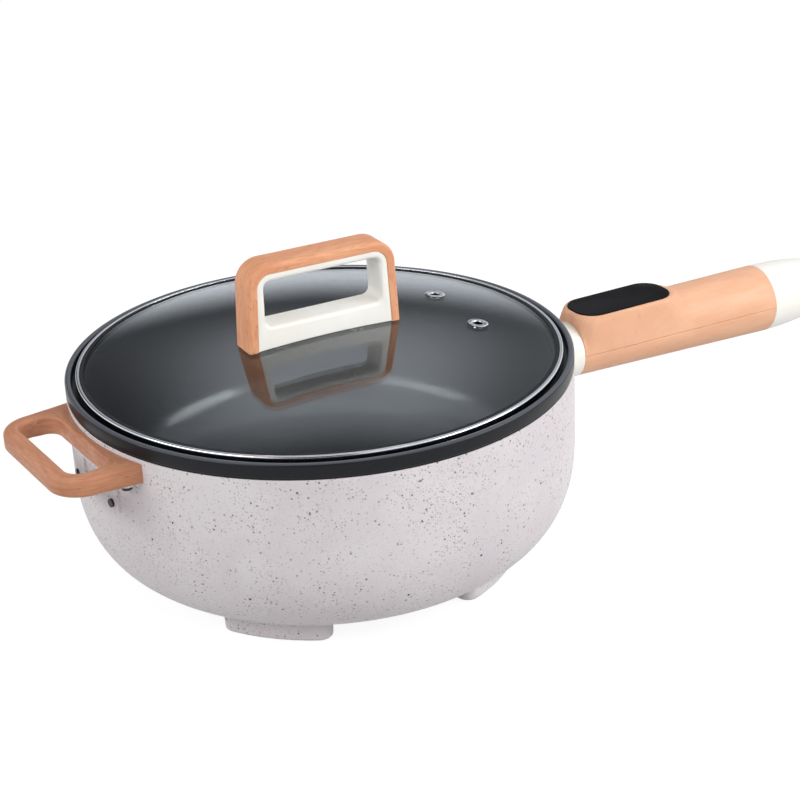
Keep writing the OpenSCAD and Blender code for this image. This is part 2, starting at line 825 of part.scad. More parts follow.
module control_panel() {
    at_handle() color(black) translate([panel_mid, 0, 0])
        rounded_block(panel_length, panel_width, panel_corner, panel_floor, panel_top);
}

module display_module() {
    at_handle() color([0.1, 0.1, 0.12]) translate([panel_mid, 0, board_top])
        linear_extrude(display_height) square([display_length, display_width], center = true);
}

module control_board() {
    at_handle() color([0.1, 0.35, 0.2]) translate([panel_mid, 0, 0]) difference() {
        rounded_block(board_length, board_width, board_corner, board_floor, board_top);
        for (x = [-1, 1]) translate([x * board_screw_place, 0, board_floor - over])
            cylinder(h = board_height + 2 * over, r = board_screw_radius + slip);
    }
}

module board_screws() {
    at_handle() color(steel) for (x = [-1, 1])
        translate([panel_mid + x * board_screw_place, 0, board_top]) rotate([180, 0, 0])
            screw(board_screw_radius, board_screw_head, board_head_height, board_height + board_screw_reach);
}

module cap_outline(inset) {
    wide = grip_end - cap_end;
    polygon(concat(
        [[0, grip_stop]],
        [for (i = [0:12]) let (a = 90 * i / 12)
            [cap_end + wide * cos(a) - inset, grip_stop + (cap_length - inset) * sin(a)]],
        [[0, cap_stop - inset]]));
}

module end_cap() {
    spigot = grip_radius(grip_stop - spigot_length) - grip_wall - bore_slip;
    bore = spigot - spigot_wall;
    at_handle() color(cream) difference() {
        union() {
            cap_form(0);
            rod(grip_stop - spigot_length, grip_stop + eps, spigot, spigot);
        }
        difference() {
            cap_form(cap_wall);
            rod(grip_stop - over, grip_stop + cap_flange, grip_end, grip_end);
        }
        rod(grip_stop - spigot_length - over, grip_stop + cap_flange + over, bore, bore);
        inlet_block(inlet_wall + slip, cap_stop - 2 * cap_wall, cap_stop + over);
    }
}

module cap_form(inset) {
    rotate([0, 90, 0]) rotate_extrude() cap_outline(inset);
}

// A block in the shape of the inlet's mouth, widened all round by a margin
module inlet_block(margin, from, to) {
    translate([from, 0, 0]) rotate([0, 90, 0]) linear_extrude(to - from)
        rounded_rectangle(inlet_height + 2 * margin, inlet_width + 2 * margin, inlet_corner + margin);
}

// The inlet's shoulder lies against the inside of the end cap
module inlet_socket() {
    at_handle() color(black) difference() {
        union() {
            inlet_block(inlet_wall, inlet_back, cap_stop);
            intersection() {
                inlet_block(2 * inlet_wall, inlet_back, cap_stop - cap_wall - slip);
                cap_form(cap_wall + slip);
            }
        }
        inlet_block(0, cap_stop - inlet_depth, cap_stop + over);
        for (y = [-1, 1]) translate([0, y * contact_pitch / 2, 0])
            rod(inlet_back - over, cap_stop, contact_radius + slip / 2, contact_radius + slip / 2);
    }
}

module inlet_contacts() {
    at_handle() color([0.8, 0.7, 0.4]) for (y = [-1, 1]) translate([0, y * contact_pitch / 2, 0])
        rod(inlet_back - contact_tail, cap_stop - inlet_depth + contact_length,
            contact_radius, contact_radius);
}

// Wires inside the body and the handle
wire_radius = 1.2;
wire_gap = 5.2;
wire_space = 0.5;
wall_mid = (pot_outer + rim_radius - shell_wall) / 2;

// A point of the handle's own frame in the pot's frame
function handle_point(p) = [rim_radius + p[0] * cos(handle_tilt) - p[2] * sin(handle_tilt), p[1],
    handle_z + p[0] * sin(handle_tilt) + p[2] * cos(handle_tilt)];

// On each side one lead from an inlet contact to the board, and one from the board through the stem,
// down between pot and shell and under the heat plate to a cold pin
module power_wires() {
    tail = inlet_back - contact_tail;
    board_end = panel_mid + board_length / 2 - board_ledge - 4;
    under_board = board_floor - wire_radius - slip;
    under_plate = plate_z - wire_radius - wire_space;
    over_rim = shield_top + shield_rim + wire_radius + wire_space;
    color([0.75, 0.2, 0.15]) for (side = [-1, 1]) {
        far = side * contact_pitch;
        y = side * wire_gap / 2;
        at_handle() tube([
            [tail - slip, 0.5 * far, 0],
            [tail - 8, 0.5 * far, 0],
            [grip_stop - 2, 0.8 * far, 1],
            [grip_screw_places[1], 1.15 * far, 3],
            [grip_screw_places[0] + 8, 1.15 * far, 4],
            [grip_screw_places[0] - 4, 1.1 * far, 6],
            [board_end + 6, 0.9 * far, under_board - 2],
            [board_end, 0.8 * far, under_board],
            [board_end - 8, 0.8 * far, under_board]], wire_radius, 8);
        at_pot() tube(concat(
            [[terminal_end[0] + wire_space * sin(open_half),
                    side * (terminal_end[1] - wire_space * cos(open_half)), plate_z],
                [terminal_end[0] + 1, side * (terminal_end[1] - 2.7), plate_z - 0.4],
                [terminal_end[0] + 4, side * (terminal_end[1] - 5.6), under_plate],
                [shield_radius - 6, 1.5 * y, under_plate],
                [shield_radius + 3, 1.3 * y, over_rim + 0.5],
                [wall_mid - 22.5, 1.1 * y, shell_z + 14.5],
                [wall_mid - 10.5, 1.1 * y, shell_z + 23],
                [wall_mid - 4, y, shell_z + 36],
                [wall_mid - 1.1, y, shell_z + 52],
                [wall_mid - 1.1, y, handle_z - 6.5],
                [wall_mid - 0.3, y, handle_z - 2],
                [flange_inner + 1.7, y, handle_z - 0.3]],
            [for (p = [[4, 0], [stem_length / 2, 0], [stem_length - 4, 0], [stem_length + 5, 2],
                [stem_length + 8, under_board - 8], [panel_mid + 14, under_board - 2],
                [panel_mid + 8, under_board], [panel_mid, under_board]])
                handle_point([p[0], y, p[1]])]), wire_radius, 8);
    }
}

module helper_outline() {
    reach = helper_outer - helper_corner;
    side = helper_half - helper_corner;
    base = rim_radius * cos(asin((helper_half + helper_flare) / rim_radius)) - 2 * over;
    neck = rim_radius + helper_web;
    gap = [helper_outer - helper_bar - neck, 2 * (helper_half - helper_side)];
    difference() {
        union() {
            polygon([[base, -helper_half - helper_flare], [neck, -helper_half], [reach, -helper_half],
                [reach, helper_half], [neck, helper_half], [base, helper_half + helper_flare]]);
            translate([reach - over, -side]) square([helper_corner + over, 2 * side]);
            for (y = [-1, 1]) translate([reach, y * side]) circle(helper_corner);
        }
        circle(rim_radius + slip);
        translate([neck + gap[0] / 2, 0]) rounded_rectangle(gap[0], gap[1], window_corner);
    }
}

// Screws through the lugs of the helper handle's bracket
lug_radius = 4;
lug_out = 5;
shelf_width = 3.4;
helper_screw_y = helper_half - helper_side / 2;
helper_screw_x = sqrt(pow(rim_radius + lug_out, 2) - pow(helper_screw_y, 2));
helper_screw_cover = 3;
helper_screw_reach = helper_height - helper_screw_cover;

module helper_handle() {
    at_helper() color(wood_look) difference() {
        translate([0, 0, helper_z]) linear_extrude(helper_height) helper_outline();
        for (y = [-1, 1]) translate([helper_screw_x, y * helper_screw_y, helper_z - over])
            cylinder(h = helper_screw_reach + 2 * over, r = screw_radius + slip);
    }
}

// Two tabs that lie on the shell, joined by a shelf under the handle. The round steps are fine ones,
// because the sheet is thin against the shell's radius that it follows.
module helper_bracket() {
    $fn = 360;
    shelf_angle = asin((helper_screw_y + lug_radius) / rim_radius);
    shelf_z = helper_z - bracket_wall;
    blank = rim_radius - bracket_wall;
    at_helper() color(speckled) difference() {
        union() {
            for (side = [-1, 1]) rotate([0, 0, side > 0 ? bracket_gap / 2 : -bracket_angle])
                rotate_extrude(angle = bracket_angle - bracket_gap / 2)
                    translate([blank, helper_z - bracket_height])
                        square([2 * bracket_wall, bracket_height - bracket_wall / 2]);
            rotate([0, 0, -shelf_angle]) rotate_extrude(angle = 2 * shelf_angle)
                translate([blank, shelf_z]) square([bracket_wall + shelf_width, bracket_wall]);
            for (y = [-1, 1]) translate([helper_screw_x, y * helper_screw_y, shelf_z])
                cylinder(h = bracket_wall, r = lug_radius);
        }
        cylinder(h = rim_z, r = rim_radius);
        for (y = [-1, 1]) translate([helper_screw_x, y * helper_screw_y, shelf_z - over])
            cylinder(h = bracket_wall + 2 * over, r = screw_radius + slip);
        for (side = [-1, 1]) wall_hole(side * helper_rivet_angle, helper_rivet_z, rivet_radius + slip);
    }
}

module helper_rivets() {
    at_helper() color(steel) for (side = [-1, 1]) rotate([0, 0, side * helper_rivet_angle])
        translate([0, 0, helper_rivet_z])
            rivet(rim_radius - shell_wall - seat_gap, rim_radius + bracket_wall + seat_gap);
}

module helper_screws() {
    at_helper() color(steel) for (y = [-1, 1])
        translate([helper_screw_x, y * helper_screw_y, helper_z - bracket_wall])
            screw(screw_radius, screw_head, screw_head_height, helper_screw_reach + bracket_wall);
}

// The glass between two spheres, out to a radius
module dome(top_shift, floor_shift, radius) {
    steps = 16;
    polygon(concat(
        [for (i = [0:steps]) let (r = radius * i / steps) [r, dome_floor(r) + floor_shift]],
        [for (i = [0:steps]) let (r = radius * (1 - i / steps)) [r, dome_top(r) + top_shift]]));
}

// Puts a child on the glass at a vent, square to its surface
module at_vents() {
    for (side = [-1, 1]) rotate([0, 0, vent_turn + side * vent_angle])
        translate([vent_circle, 0, dome_top(vent_circle)])
            rotate([0, asin(vent_circle / dome_radius), 0]) children();
}

vent_sheet = 0.8;
vent_barrel = vent_hole + vent_sheet;
vent_curl = 1.2;
lid_screw_radius = 2;
lid_screw_head = 4;
lid_head_height = 2.4;
lid_screw_cover = 4;
lid_screw_end = core_floor - lid_screw_cover;
washer_radius = 5.5;
washer_height = 1.2;
washer_floor = dome_floor(lid_screw_place) - washer_height;

module lid_glass() {
    at_pot() color([0.55, 0.58, 0.6, 0.5]) difference() {
        rotate_extrude() dome(0, 0, glass_radius);
        at_vents() translate([0, 0, -2 * glass_wall])
            cylinder(h = 3 * glass_wall, r = vent_barrel + slip);
        for (x = [-1, 1]) translate([x * lid_screw_place, 0, washer_floor])
            cylinder(h = 3 * glass_wall, r = lid_screw_radius + bore_slip);
    }
}

module lid_ring() {
    top = dome_top(ring_opening) + glass_fit;
    floor_top = ring_z + ring_wall;
    at_pot() color(steel) rotate_extrude() polygon([
        [ring_opening, ring_z], [ring_outer, ring_z], [ring_outer, top + ring_wall],
        [ring_opening, top + ring_wall], [ring_opening, top], [ring_outer - ring_wall, top],
        [ring_outer - ring_wall, floor_top], [ring_opening, floor_top]]);
}

module lid_seal() {
    seal_height = 0.7;
    outer = ring_opening - slip;
    inner = outer - seal_width;
    at_pot() color(black) rotate_extrude() polygon([
        [inner, dome_top(inner) + seat_gap], [outer, dome_top(outer) + seat_gap],
        [outer, dome_top(outer) + seat_gap + seal_height],
        [inner, dome_top(inner) + seat_gap + seal_height / 2]]);
}

module vent_grommets() {
    top = vent_sheet + seat_gap;
    bottom = glass_wall + vent_sheet + seat_gap;
    at_pot() color(steel) at_vents() difference() {
        union() {
            translate([0, 0, seat_gap]) cylinder(h = vent_sheet, r = vent_flange);
            translate([0, 0, -bottom]) cylinder(h = bottom + top, r = vent_barrel);
            translate([0, 0, -bottom]) cylinder(h = vent_sheet, r = vent_barrel + vent_curl);
        }
        translate([0, 0, -bottom - over]) cylinder(h = bottom + top + 2 * over, r = vent_hole);
    }
}

// Centre of the lid handle's rounded shoulder on one end
strap_z = rim_z + strap_top;
strap_foot = dome_top(strap_length / 2);
shoulder_z = strap_z - strap_corner;
shoulder_x = strap_length / 2 - strap_corner / cos(strap_draft)
    - (shoulder_z - strap_foot) * tan(strap_draft);

// Half of the lid handle's length at a height, drawn in by some distance
function strap_half(z, inset) = shoulder_x + (strap_corner - inset) / cos(strap_draft)
    + (shoulder_z - z) * tan(strap_draft);

// Outline of the lid handle from the side, drawn in by some distance: leaning ends and round shoulders
module strap_outline(inset, bottom) {
    round = strap_corner - inset;
    half = strap_half(bottom, inset);
    polygon(concat(
        [[-half, bottom], [half, bottom]],
        arc([shoulder_x, shoulder_z], round, strap_draft, 90, 10),
        arc([-shoulder_x, shoulder_z], round, 90, 180 - strap_draft, 10)));
}

// Outline of the finger gap: the same leaning ends, closed below with rounded corners
module gap_outline() {
    inset = strap_wall + core_wall;
    floor_z = rim_z + core_floor;
    corner_z = floor_z + core_corner;
    corner_x = strap_half(corner_z, inset + core_corner);
    round = strap_corner - inset;
    polygon(concat(
        arc([-corner_x, corner_z], core_corner, 180 + strap_draft, 270),
        arc([corner_x, corner_z], core_corner, 270, 360 + strap_draft),
        arc([shoulder_x, shoulder_z], round, strap_draft, 90),
        arc([-shoulder_x, shoulder_z], round, 90, 180 - strap_draft)));
}

// Raises a side outline into a slab across the lid handle
module upright(width) {
    rotate([90, 0, 0]) translate([0, 0, -width / 2]) linear_extrude(width) children();
}

// All that lies below the glass's top face
module glass_block() {
    steps = 16;
    bottom = rim_z - 2 * dome_rise;
    rotate_extrude() polygon(concat(
        [[0, bottom], [glass_radius, bottom]],
        [for (i = [0:steps]) let (r = glass_radius * (1 - i / steps)) [r, dome_top(r) + seat_gap]]));
}

module handle_strap() {
    at_pot() color(wood_look) difference() {
        upright(strap_width) strap_outline(0, rim_z);
        upright(strap_width + 2 * over) strap_outline(strap_wall - slip, rim_z - over);
        glass_block();
    }
}

module handle_core() {
    at_pot() color(cream) difference() {
        upright(strap_width - 2 * core_inset) strap_outline(strap_wall, rim_z);
        upright(strap_width + 2 * over) gap_outline();
        glass_block();
        for (x = [-1, 1]) translate([x * lid_screw_place, 0, rim_z])
            cylinder(h = lid_screw_end + over, r = lid_screw_radius + slip);
    }
}

module lid_washers() {
    at_pot() color(rubber_grey) difference() {
        for (x = [-1, 1]) translate([x * lid_screw_place, 0, washer_floor]) difference() {
            cylinder(h = 2 * washer_height, r = washer_radius);
            translate([0, 0, -over])
                cylinder(h = 2 * washer_height + 2 * over, r = lid_screw_radius + bore_slip);
        }
        rotate_extrude() dome(dome_rise, -seat_gap, glass_radius);
    }
}

module lid_screws() {
    seat = washer_floor - seat_gap;
    at_pot() color(steel) for (x = [-1, 1]) translate([x * lid_screw_place, 0, seat])
        screw(lid_screw_radius, lid_screw_head, lid_head_height, rim_z + lid_screw_end - seat);
}

inner_pot();
outer_shell();
rim_gasket();
heat_plate();
heating_element();
element_terminals();
heat_shield();
pot_studs();
stud_spacers();
stud_nuts();
sensor_cap();
sensor_spring();
sensor_guide();
thermal_fuse();
base_cover();
cover_screws();
feet();
foot_screws();
foot_pads();
handle_bracket();
bracket_rivets();
handle_collar();
grip_upper();
grip_lower();
grip_screws();
control_panel();
display_module();
control_board();
board_screws();
end_cap();
inlet_socket();
inlet_contacts();
power_wires();
helper_handle();
helper_bracket();
helper_rivets();
helper_screws();
lid_glass();
lid_ring();
lid_seal();
vent_grommets();
handle_core();
handle_strap();
lid_screws();
lid_washers();
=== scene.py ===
import json
import math

import bmesh
import bpy
import numpy as np
from mathutils import Matrix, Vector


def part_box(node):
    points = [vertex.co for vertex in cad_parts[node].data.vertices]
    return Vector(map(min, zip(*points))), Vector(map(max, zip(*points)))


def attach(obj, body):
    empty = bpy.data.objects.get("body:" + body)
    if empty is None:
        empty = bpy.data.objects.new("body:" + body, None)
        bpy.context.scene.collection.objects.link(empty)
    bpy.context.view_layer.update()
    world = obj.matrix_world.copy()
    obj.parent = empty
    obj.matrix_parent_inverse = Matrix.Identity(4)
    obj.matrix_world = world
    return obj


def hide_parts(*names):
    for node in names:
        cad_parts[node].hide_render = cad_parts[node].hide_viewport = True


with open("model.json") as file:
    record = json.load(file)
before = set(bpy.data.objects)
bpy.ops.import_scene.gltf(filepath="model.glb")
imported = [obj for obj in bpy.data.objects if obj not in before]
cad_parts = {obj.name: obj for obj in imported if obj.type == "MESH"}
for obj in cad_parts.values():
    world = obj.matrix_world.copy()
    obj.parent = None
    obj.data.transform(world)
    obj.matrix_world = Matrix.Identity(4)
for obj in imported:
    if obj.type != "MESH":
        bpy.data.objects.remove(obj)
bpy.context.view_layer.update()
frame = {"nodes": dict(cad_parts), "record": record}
MM = 0.001

# Steps round a turned piece, round the handle, a vent and a pin; and lengths in metres that count as nothing
ROUND_STEPS = 320
HANDLE_STEPS = 120
VENT_STEPS = 64
PIN_STEPS = 48
WELD = 1e-7
SLIVER = 1e-8


def corners(node):
    """Lowest and highest corner of a CAD node, in millimetres."""
    lo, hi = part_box(node)
    return np.array(lo) / MM, np.array(hi) / MM


# Places and sizes read from the frame
shell_lo, shell_hi = corners("outer_shell")
pot_lo, pot_hi = corners("inner_pot")
ring_lo, ring_hi = corners("lid_ring")
glass_lo, glass_hi = corners("lid_glass")
strap_lo, strap_hi = corners("handle_strap")
helper_lo, helper_hi = corners("helper_handle")
AXIS_X = (shell_lo[0] + shell_hi[0]) / 2
RIM_RADIUS = (shell_hi[0] - shell_lo[0]) / 2
RIM_Z = pot_hi[2]
SHELL_Z = shell_lo[2]
SHELL_TOP = shell_hi[2]

# Pot
BAND_HEIGHT = 8.0
LIP_WIDTH = 3.6
LIP_ROUND = 1.4
LEDGE_DEPTH = 5.0
LEDGE_WIDTH = 8.4
POT_WALL = 3.0
POT_CORNER = 36.0
SOFT_EDGE = 0.8
LIP_INNER = RIM_RADIUS - LIP_WIDTH
POT_INNER = LIP_INNER - LEDGE_WIDTH
FLOOR_Z = pot_lo[2] + POT_WALL
LIP_SOFT = 1.0
INNER_SOFT = 10.0
# Lengths along the pot's profile, from the middle of its floor to the lid step and to the top of the lip
INNER_RUN = POT_INNER - POT_CORNER + POT_CORNER * math.pi / 2 + RIM_Z - LEDGE_DEPTH - FLOOR_Z - POT_CORNER
LIP_RUN = INNER_RUN + LEDGE_WIDTH + LEDGE_DEPTH - LIP_ROUND / 2

# Shell
SHELL_WALL = 2.0
SHELL_FLAT = 90.0
SHELL_BEND_TOP = RIM_Z - 52.0
SHELL_POWER = 2.45

# Lid
RING_OUTER = (ring_hi[1] - ring_lo[1]) / 2
RING_SHEET = 0.8
RING_FLANGE = 1.4
RING_ROLL = 1.0
GLASS_WALL = 4.0
GLASS_SEAT = 0.1
GLASS_RADIUS = (glass_hi[1] - glass_lo[1]) / 2
DOME_RISE = 13.8
DOME_RADIUS = (GLASS_RADIUS ** 2 + DOME_RISE ** 2) / (2 * DOME_RISE)
VENT_CIRCLE = 92.7
VENT_ANGLE = 17.2
VENT_TURN = -2.2
VENT_FLANGE = 6.2
VENT_HOLE = 3.0
VENT_SHEET = 0.8
VENT_LIFT = 0.05
VENT_CURL = 0.8
VENT_PLAY = 0.1
PIN_LENGTH = 12.0
# Stretch of a vent's profile left out of its painted shade: where it starts, how long it is and its soft step
UNSHADED_START = GLASS_WALL + VENT_SHEET + 0.3
UNSHADED_RUN = 3.5
UNSHADED_SOFT = 0.4

# Lid handle
STRAP_HALF = (strap_hi[0] - strap_lo[0]) / 2
STRAP_WIDTH = strap_hi[1] - strap_lo[1]
STRAP_DRAFT = math.radians(2.4)
STRAP_WALL = 5.6
STRAP_CORNER = 14.0
STRAP_EDGE = 2.2
STRAP_INNER_EDGE = 0.4
CORE_WIDTH = np.ptp(corners("handle_core"), 0)[1]
CORE_WALL = 4.5
CORE_FLOOR = 26.0
CORE_CORNER = 5.0
CORE_EDGE = 2.4
CORE_OUTER_EDGE = 0.3
CORE_EDGE_SHARE = 0.55

# Helper handle
HELPER_TURN = 184.5
HELPER_REACH = 36.0
HELPER_HALF = 48.0
HELPER_FLARE = 1.0
HELPER_CORNER = 19.5
HELPER_BAR = 9.6
HELPER_SIDE = 9.4
HELPER_WEB = 4.0
HELPER_EDGE = 2.6
HELPER_SHELL_EDGE = 0.5
WINDOW_CORNER = 9.0
WINDOW_EDGE = HELPER_EDGE * 0.8
WINDOW_EDGE_SHARE = 0.5
HELPER_GAP = 0.1

# Long handle, measured along its own axis from the shell's face
HANDLE_TILT = math.radians(0.7)
HANDLE_FOOT = np.array([AXIS_X + RIM_RADIUS, 0.0, np.mean(corners("handle_bracket"), 0)[2]])
COLLAR_LENGTH = 25.5
COLLAR_ROOT = 19.0
COLLAR_WALL = 2.2
COLLAR_EDGE = 0.4
COLLAR_SINK = 0.2
GRIP_START = 17.5
GRIP_END = 22.1
GRIP_STOP = 172.0
CROWN_RISE = 1.9
CROWN_PEAK = 2.9
GRIP_EDGE = 0.5
SPLIT_GAP = 0.1
CAP_LENGTH = 50.0
CAP_END = 13.0
CAP_WALL = 2.4
MOUTH_WIDTH = 20.0
MOUTH_HEIGHT = 14.0
MOUTH_EDGE = 0.4
MOUTH_POWER = 6
PANEL_LENGTH = 69.0
PANEL_WIDTH = np.ptp(corners("control_panel"), 0)[1]
PANEL_CORNER = 13.0
PANEL_HEIGHT = 2.5
PANEL_EDGE = 0.5
PANEL_TOP = 25.1
PANEL_MID = 62.5
PAD_MARGIN = 1.5
PAD_TOP = 24.45
PAD_SINK = 0.5
PAD_PLAY = 0.1
PAD_NECK = 5.0
PAD_RAMP = 7.0

# Feet
FOOT_Z = corners("feet")[0][2]
FOOT_OUTER = 112.0
FOOT_INNER = 84.0
FOOT_SPAN = 34.0
FOOT_CORNER = 7.0
FOOT_ANGLES = (56, 133, -133, -56)
FOOT_EDGE = 2.0
FOOT_FILLET = 1.6
FOOT_SINK = 0.6


def arc(centre, radius, start, stop, count):
    """Points of a circle, or of an ellipse with two radii, from one angle to another in degrees."""
    a = np.radians(np.linspace(start, stop, count))
    wide, high = np.broadcast_to(radius, 2)
    return np.stack([centre[0] + wide * np.cos(a), centre[1] + high * np.sin(a)], -1)


def line(start, stop, count):
    """Points spread evenly from one point to another, without the last one."""
    t = np.linspace(0, 1, count, endpoint=False)[:, None]
    return np.array(start, float) * (1 - t) + np.array(stop, float) * t


def revolve(profile, steps=ROUND_STEPS):
    """Turns a profile of (radius, height) round the pot's axis: x = r cos a, y = r sin a, z = height."""
    a = np.linspace(0, 2 * np.pi, steps, endpoint=False)[:, None]
    r, h = np.asarray(profile, float).T
    return np.stack([AXIS_X + r * np.cos(a), r * np.sin(a), h + 0 * a], -1)


def dome_top(r):
    """Height of the glass's top face: a sphere's cap that ends at the glass's edge."""
    return glass_hi[2] - DOME_RADIUS + np.sqrt(DOME_RADIUS ** 2 - np.square(r))


def shell_side(r):
    """Height of the shell's rounded corner at a radius: a superellipse between the bottom and the upright."""
    high = SHELL_BEND_TOP - SHELL_Z
    share = np.clip((np.asarray(r, float) - SHELL_FLAT) / (RIM_RADIUS - SHELL_FLAT), 0, 1)
    return SHELL_BEND_TOP - high * (1 - share ** SHELL_POWER) ** (1 / SHELL_POWER)


def tipped(points, angle):
    """Turns points in the upright plane along x, which lifts those ahead where the angle is above zero."""
    c, s = math.cos(angle), math.sin(angle)
    return np.asarray(points) @ np.array([[c, 0, -s], [0, 1, 0], [s, 0, c]]).T


def on_handle(points):
    """Carries (along, across, up) points of the long handle into the part's frame by its tilt and foot."""
    return tipped(points, HANDLE_TILT) + HANDLE_FOOT


def turned(points, degrees):
    """Turns points about the upright axis through zero."""
    c, s = math.cos(math.radians(degrees)), math.sin(math.radians(degrees))
    return np.asarray(points) @ np.array([[c, -s, 0], [s, c, 0], [0, 0, 1]]).T


def grip_radius(s):
    """Radius of the grip at a distance along the handle: an even taper."""
    return GRIP_START + (GRIP_END - GRIP_START) * (s - COLLAR_LENGTH) / (GRIP_STOP - COLLAR_LENGTH)


def surface(grid, wrap_rows=True, wrap_cols=True, chart=None):
    """A closed grid as points in metres, outward faces, and each corner's chart: the run of length along rows
    and columns, or the given pair of lengths at each grid point."""
    rows, cols = grid.shape[:2]
    i, j = np.meshgrid(np.arange(rows - (not wrap_rows)), np.arange(cols - (not wrap_cols)), indexing="ij")
    i, j = i.reshape(-1, 1) + [0, 1, 1, 0], j.reshape(-1, 1) + [0, 0, 1, 1]
    points = grid.reshape(-1, 3) * MM
    faces = (i % rows) * cols + j % cols
    ring = np.pad(grid, ((0, 1), (0, 1), (0, 0)), "wrap")
    steps = [np.linalg.norm(np.diff(ring, axis=k), axis=2).mean(1 - k) for k in (0, 1)]
    run, reach = (np.append(0, np.cumsum(step)) * MM for step in steps)
    uv = np.stack([run[i], reach[j]], -1) if chart is None else chart[i % rows, j % cols] * MM
    # Six times the volume inside the faces, which is below zero where they point inwards
    a, b, c, d = (points[faces[:, k]] for k in range(4))
    if np.sum(np.cross(a, b) * c) + np.sum(np.cross(a, c) * d) < 0:
        faces, uv = faces[:, ::-1], uv[:, ::-1]
    return points, faces, uv


def placed(name, data):
    """A new object of some data, in the scene."""
    made = bpy.data.objects.new(name, data)
    bpy.context.scene.collection.objects.link(made)
    return made


def quad_mesh(name, points, faces, uv=None):
    """A mesh of quads, with its chart if there is one. Points at one place, as at a pole, are made one."""
    mesh = bpy.data.meshes.new(name)
    mesh.from_pydata(points.tolist(), [], faces.tolist())
    if uv is not None:
        mesh.uv_layers.new(name="UVMap").data.foreach_set("uv", uv.reshape(-1).astype(np.float32))
    welded = bmesh.new()
    welded.from_mesh(mesh)
    bmesh.ops.remove_doubles(welded, verts=welded.verts, dist=WELD)
    bmesh.ops.dissolve_degenerate(welded, edges=welded.edges, dist=SLIVER)
    welded.to_mesh(mesh)
    welded.free()
    return mesh


def add_piece(name, surfaces, body, nodes, slot, material=None, crease=40):
    """One object of closed surfaces that stands for CAD nodes, in its slot's finish unless a material is given.
    Edges over the crease stay sharp."""
    offsets = np.cumsum([0] + [len(p) for p, _, _ in surfaces])
    points = np.concatenate([p for p, _, _ in surfaces])
    faces = np.concatenate([f + o for (_, f, _), o in zip(surfaces, offsets)])
    mesh = quad_mesh(name, points, faces, np.concatenate([u for _, _, u in surfaces]))
    mesh.polygons.foreach_set("use_smooth", np.ones(len(mesh.polygons), bool))
    mesh.set_sharp_from_angle(angle=math.radians(crease))
    mesh.materials.append(material or finishes[slot])
    piece = placed(name, mesh)
    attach(piece, body)
    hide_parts(*nodes)
    return piece


# Materials


class Nodes:
    """A node tree under construction, and short ways to add nodes to it."""

    def __init__(self, tree):
        self.tree = tree

    def node(self, kind, inputs=None, **settings):
        """A node with its settings, whose inputs are linked to outputs or set to plain values."""
        made = self.tree.nodes.new(kind)
        for key, value in settings.items():
            setattr(made, key, value)
        for key, value in (inputs or {}).items():
            if isinstance(value, bpy.types.NodeSocket):
                self.tree.links.new(value, made.inputs[key])
            else:
                made.inputs[key].default_value = value
        return made

    def between(self, value, low, high, to_low=0.0, to_high=1.0):
        """The value stretched smoothly from one span to another, and held inside it."""
        spans = {"Value": value, "From Min": low, "From Max": high, "To Min": to_low, "To Max": to_high}
        return self.node("ShaderNodeMapRange", spans, interpolation_type="SMOOTHSTEP").outputs[0]

    def math(self, operation, a, b=0.0):
        """One calculation with two values."""
        return self.node("ShaderNodeMath", {0: a, 1: b}, operation=operation).outputs[0]

    def product(self, first, *others):
        """Some values multiplied."""
        for other in others:
            first = self.math("MULTIPLY", first, other)
        return first

    def mix(self, share, a, b):
        """A colour between two colours."""
        return self.node("ShaderNodeMix", {"Factor": share, 6: a, 7: b}, data_type="RGBA").outputs[2]


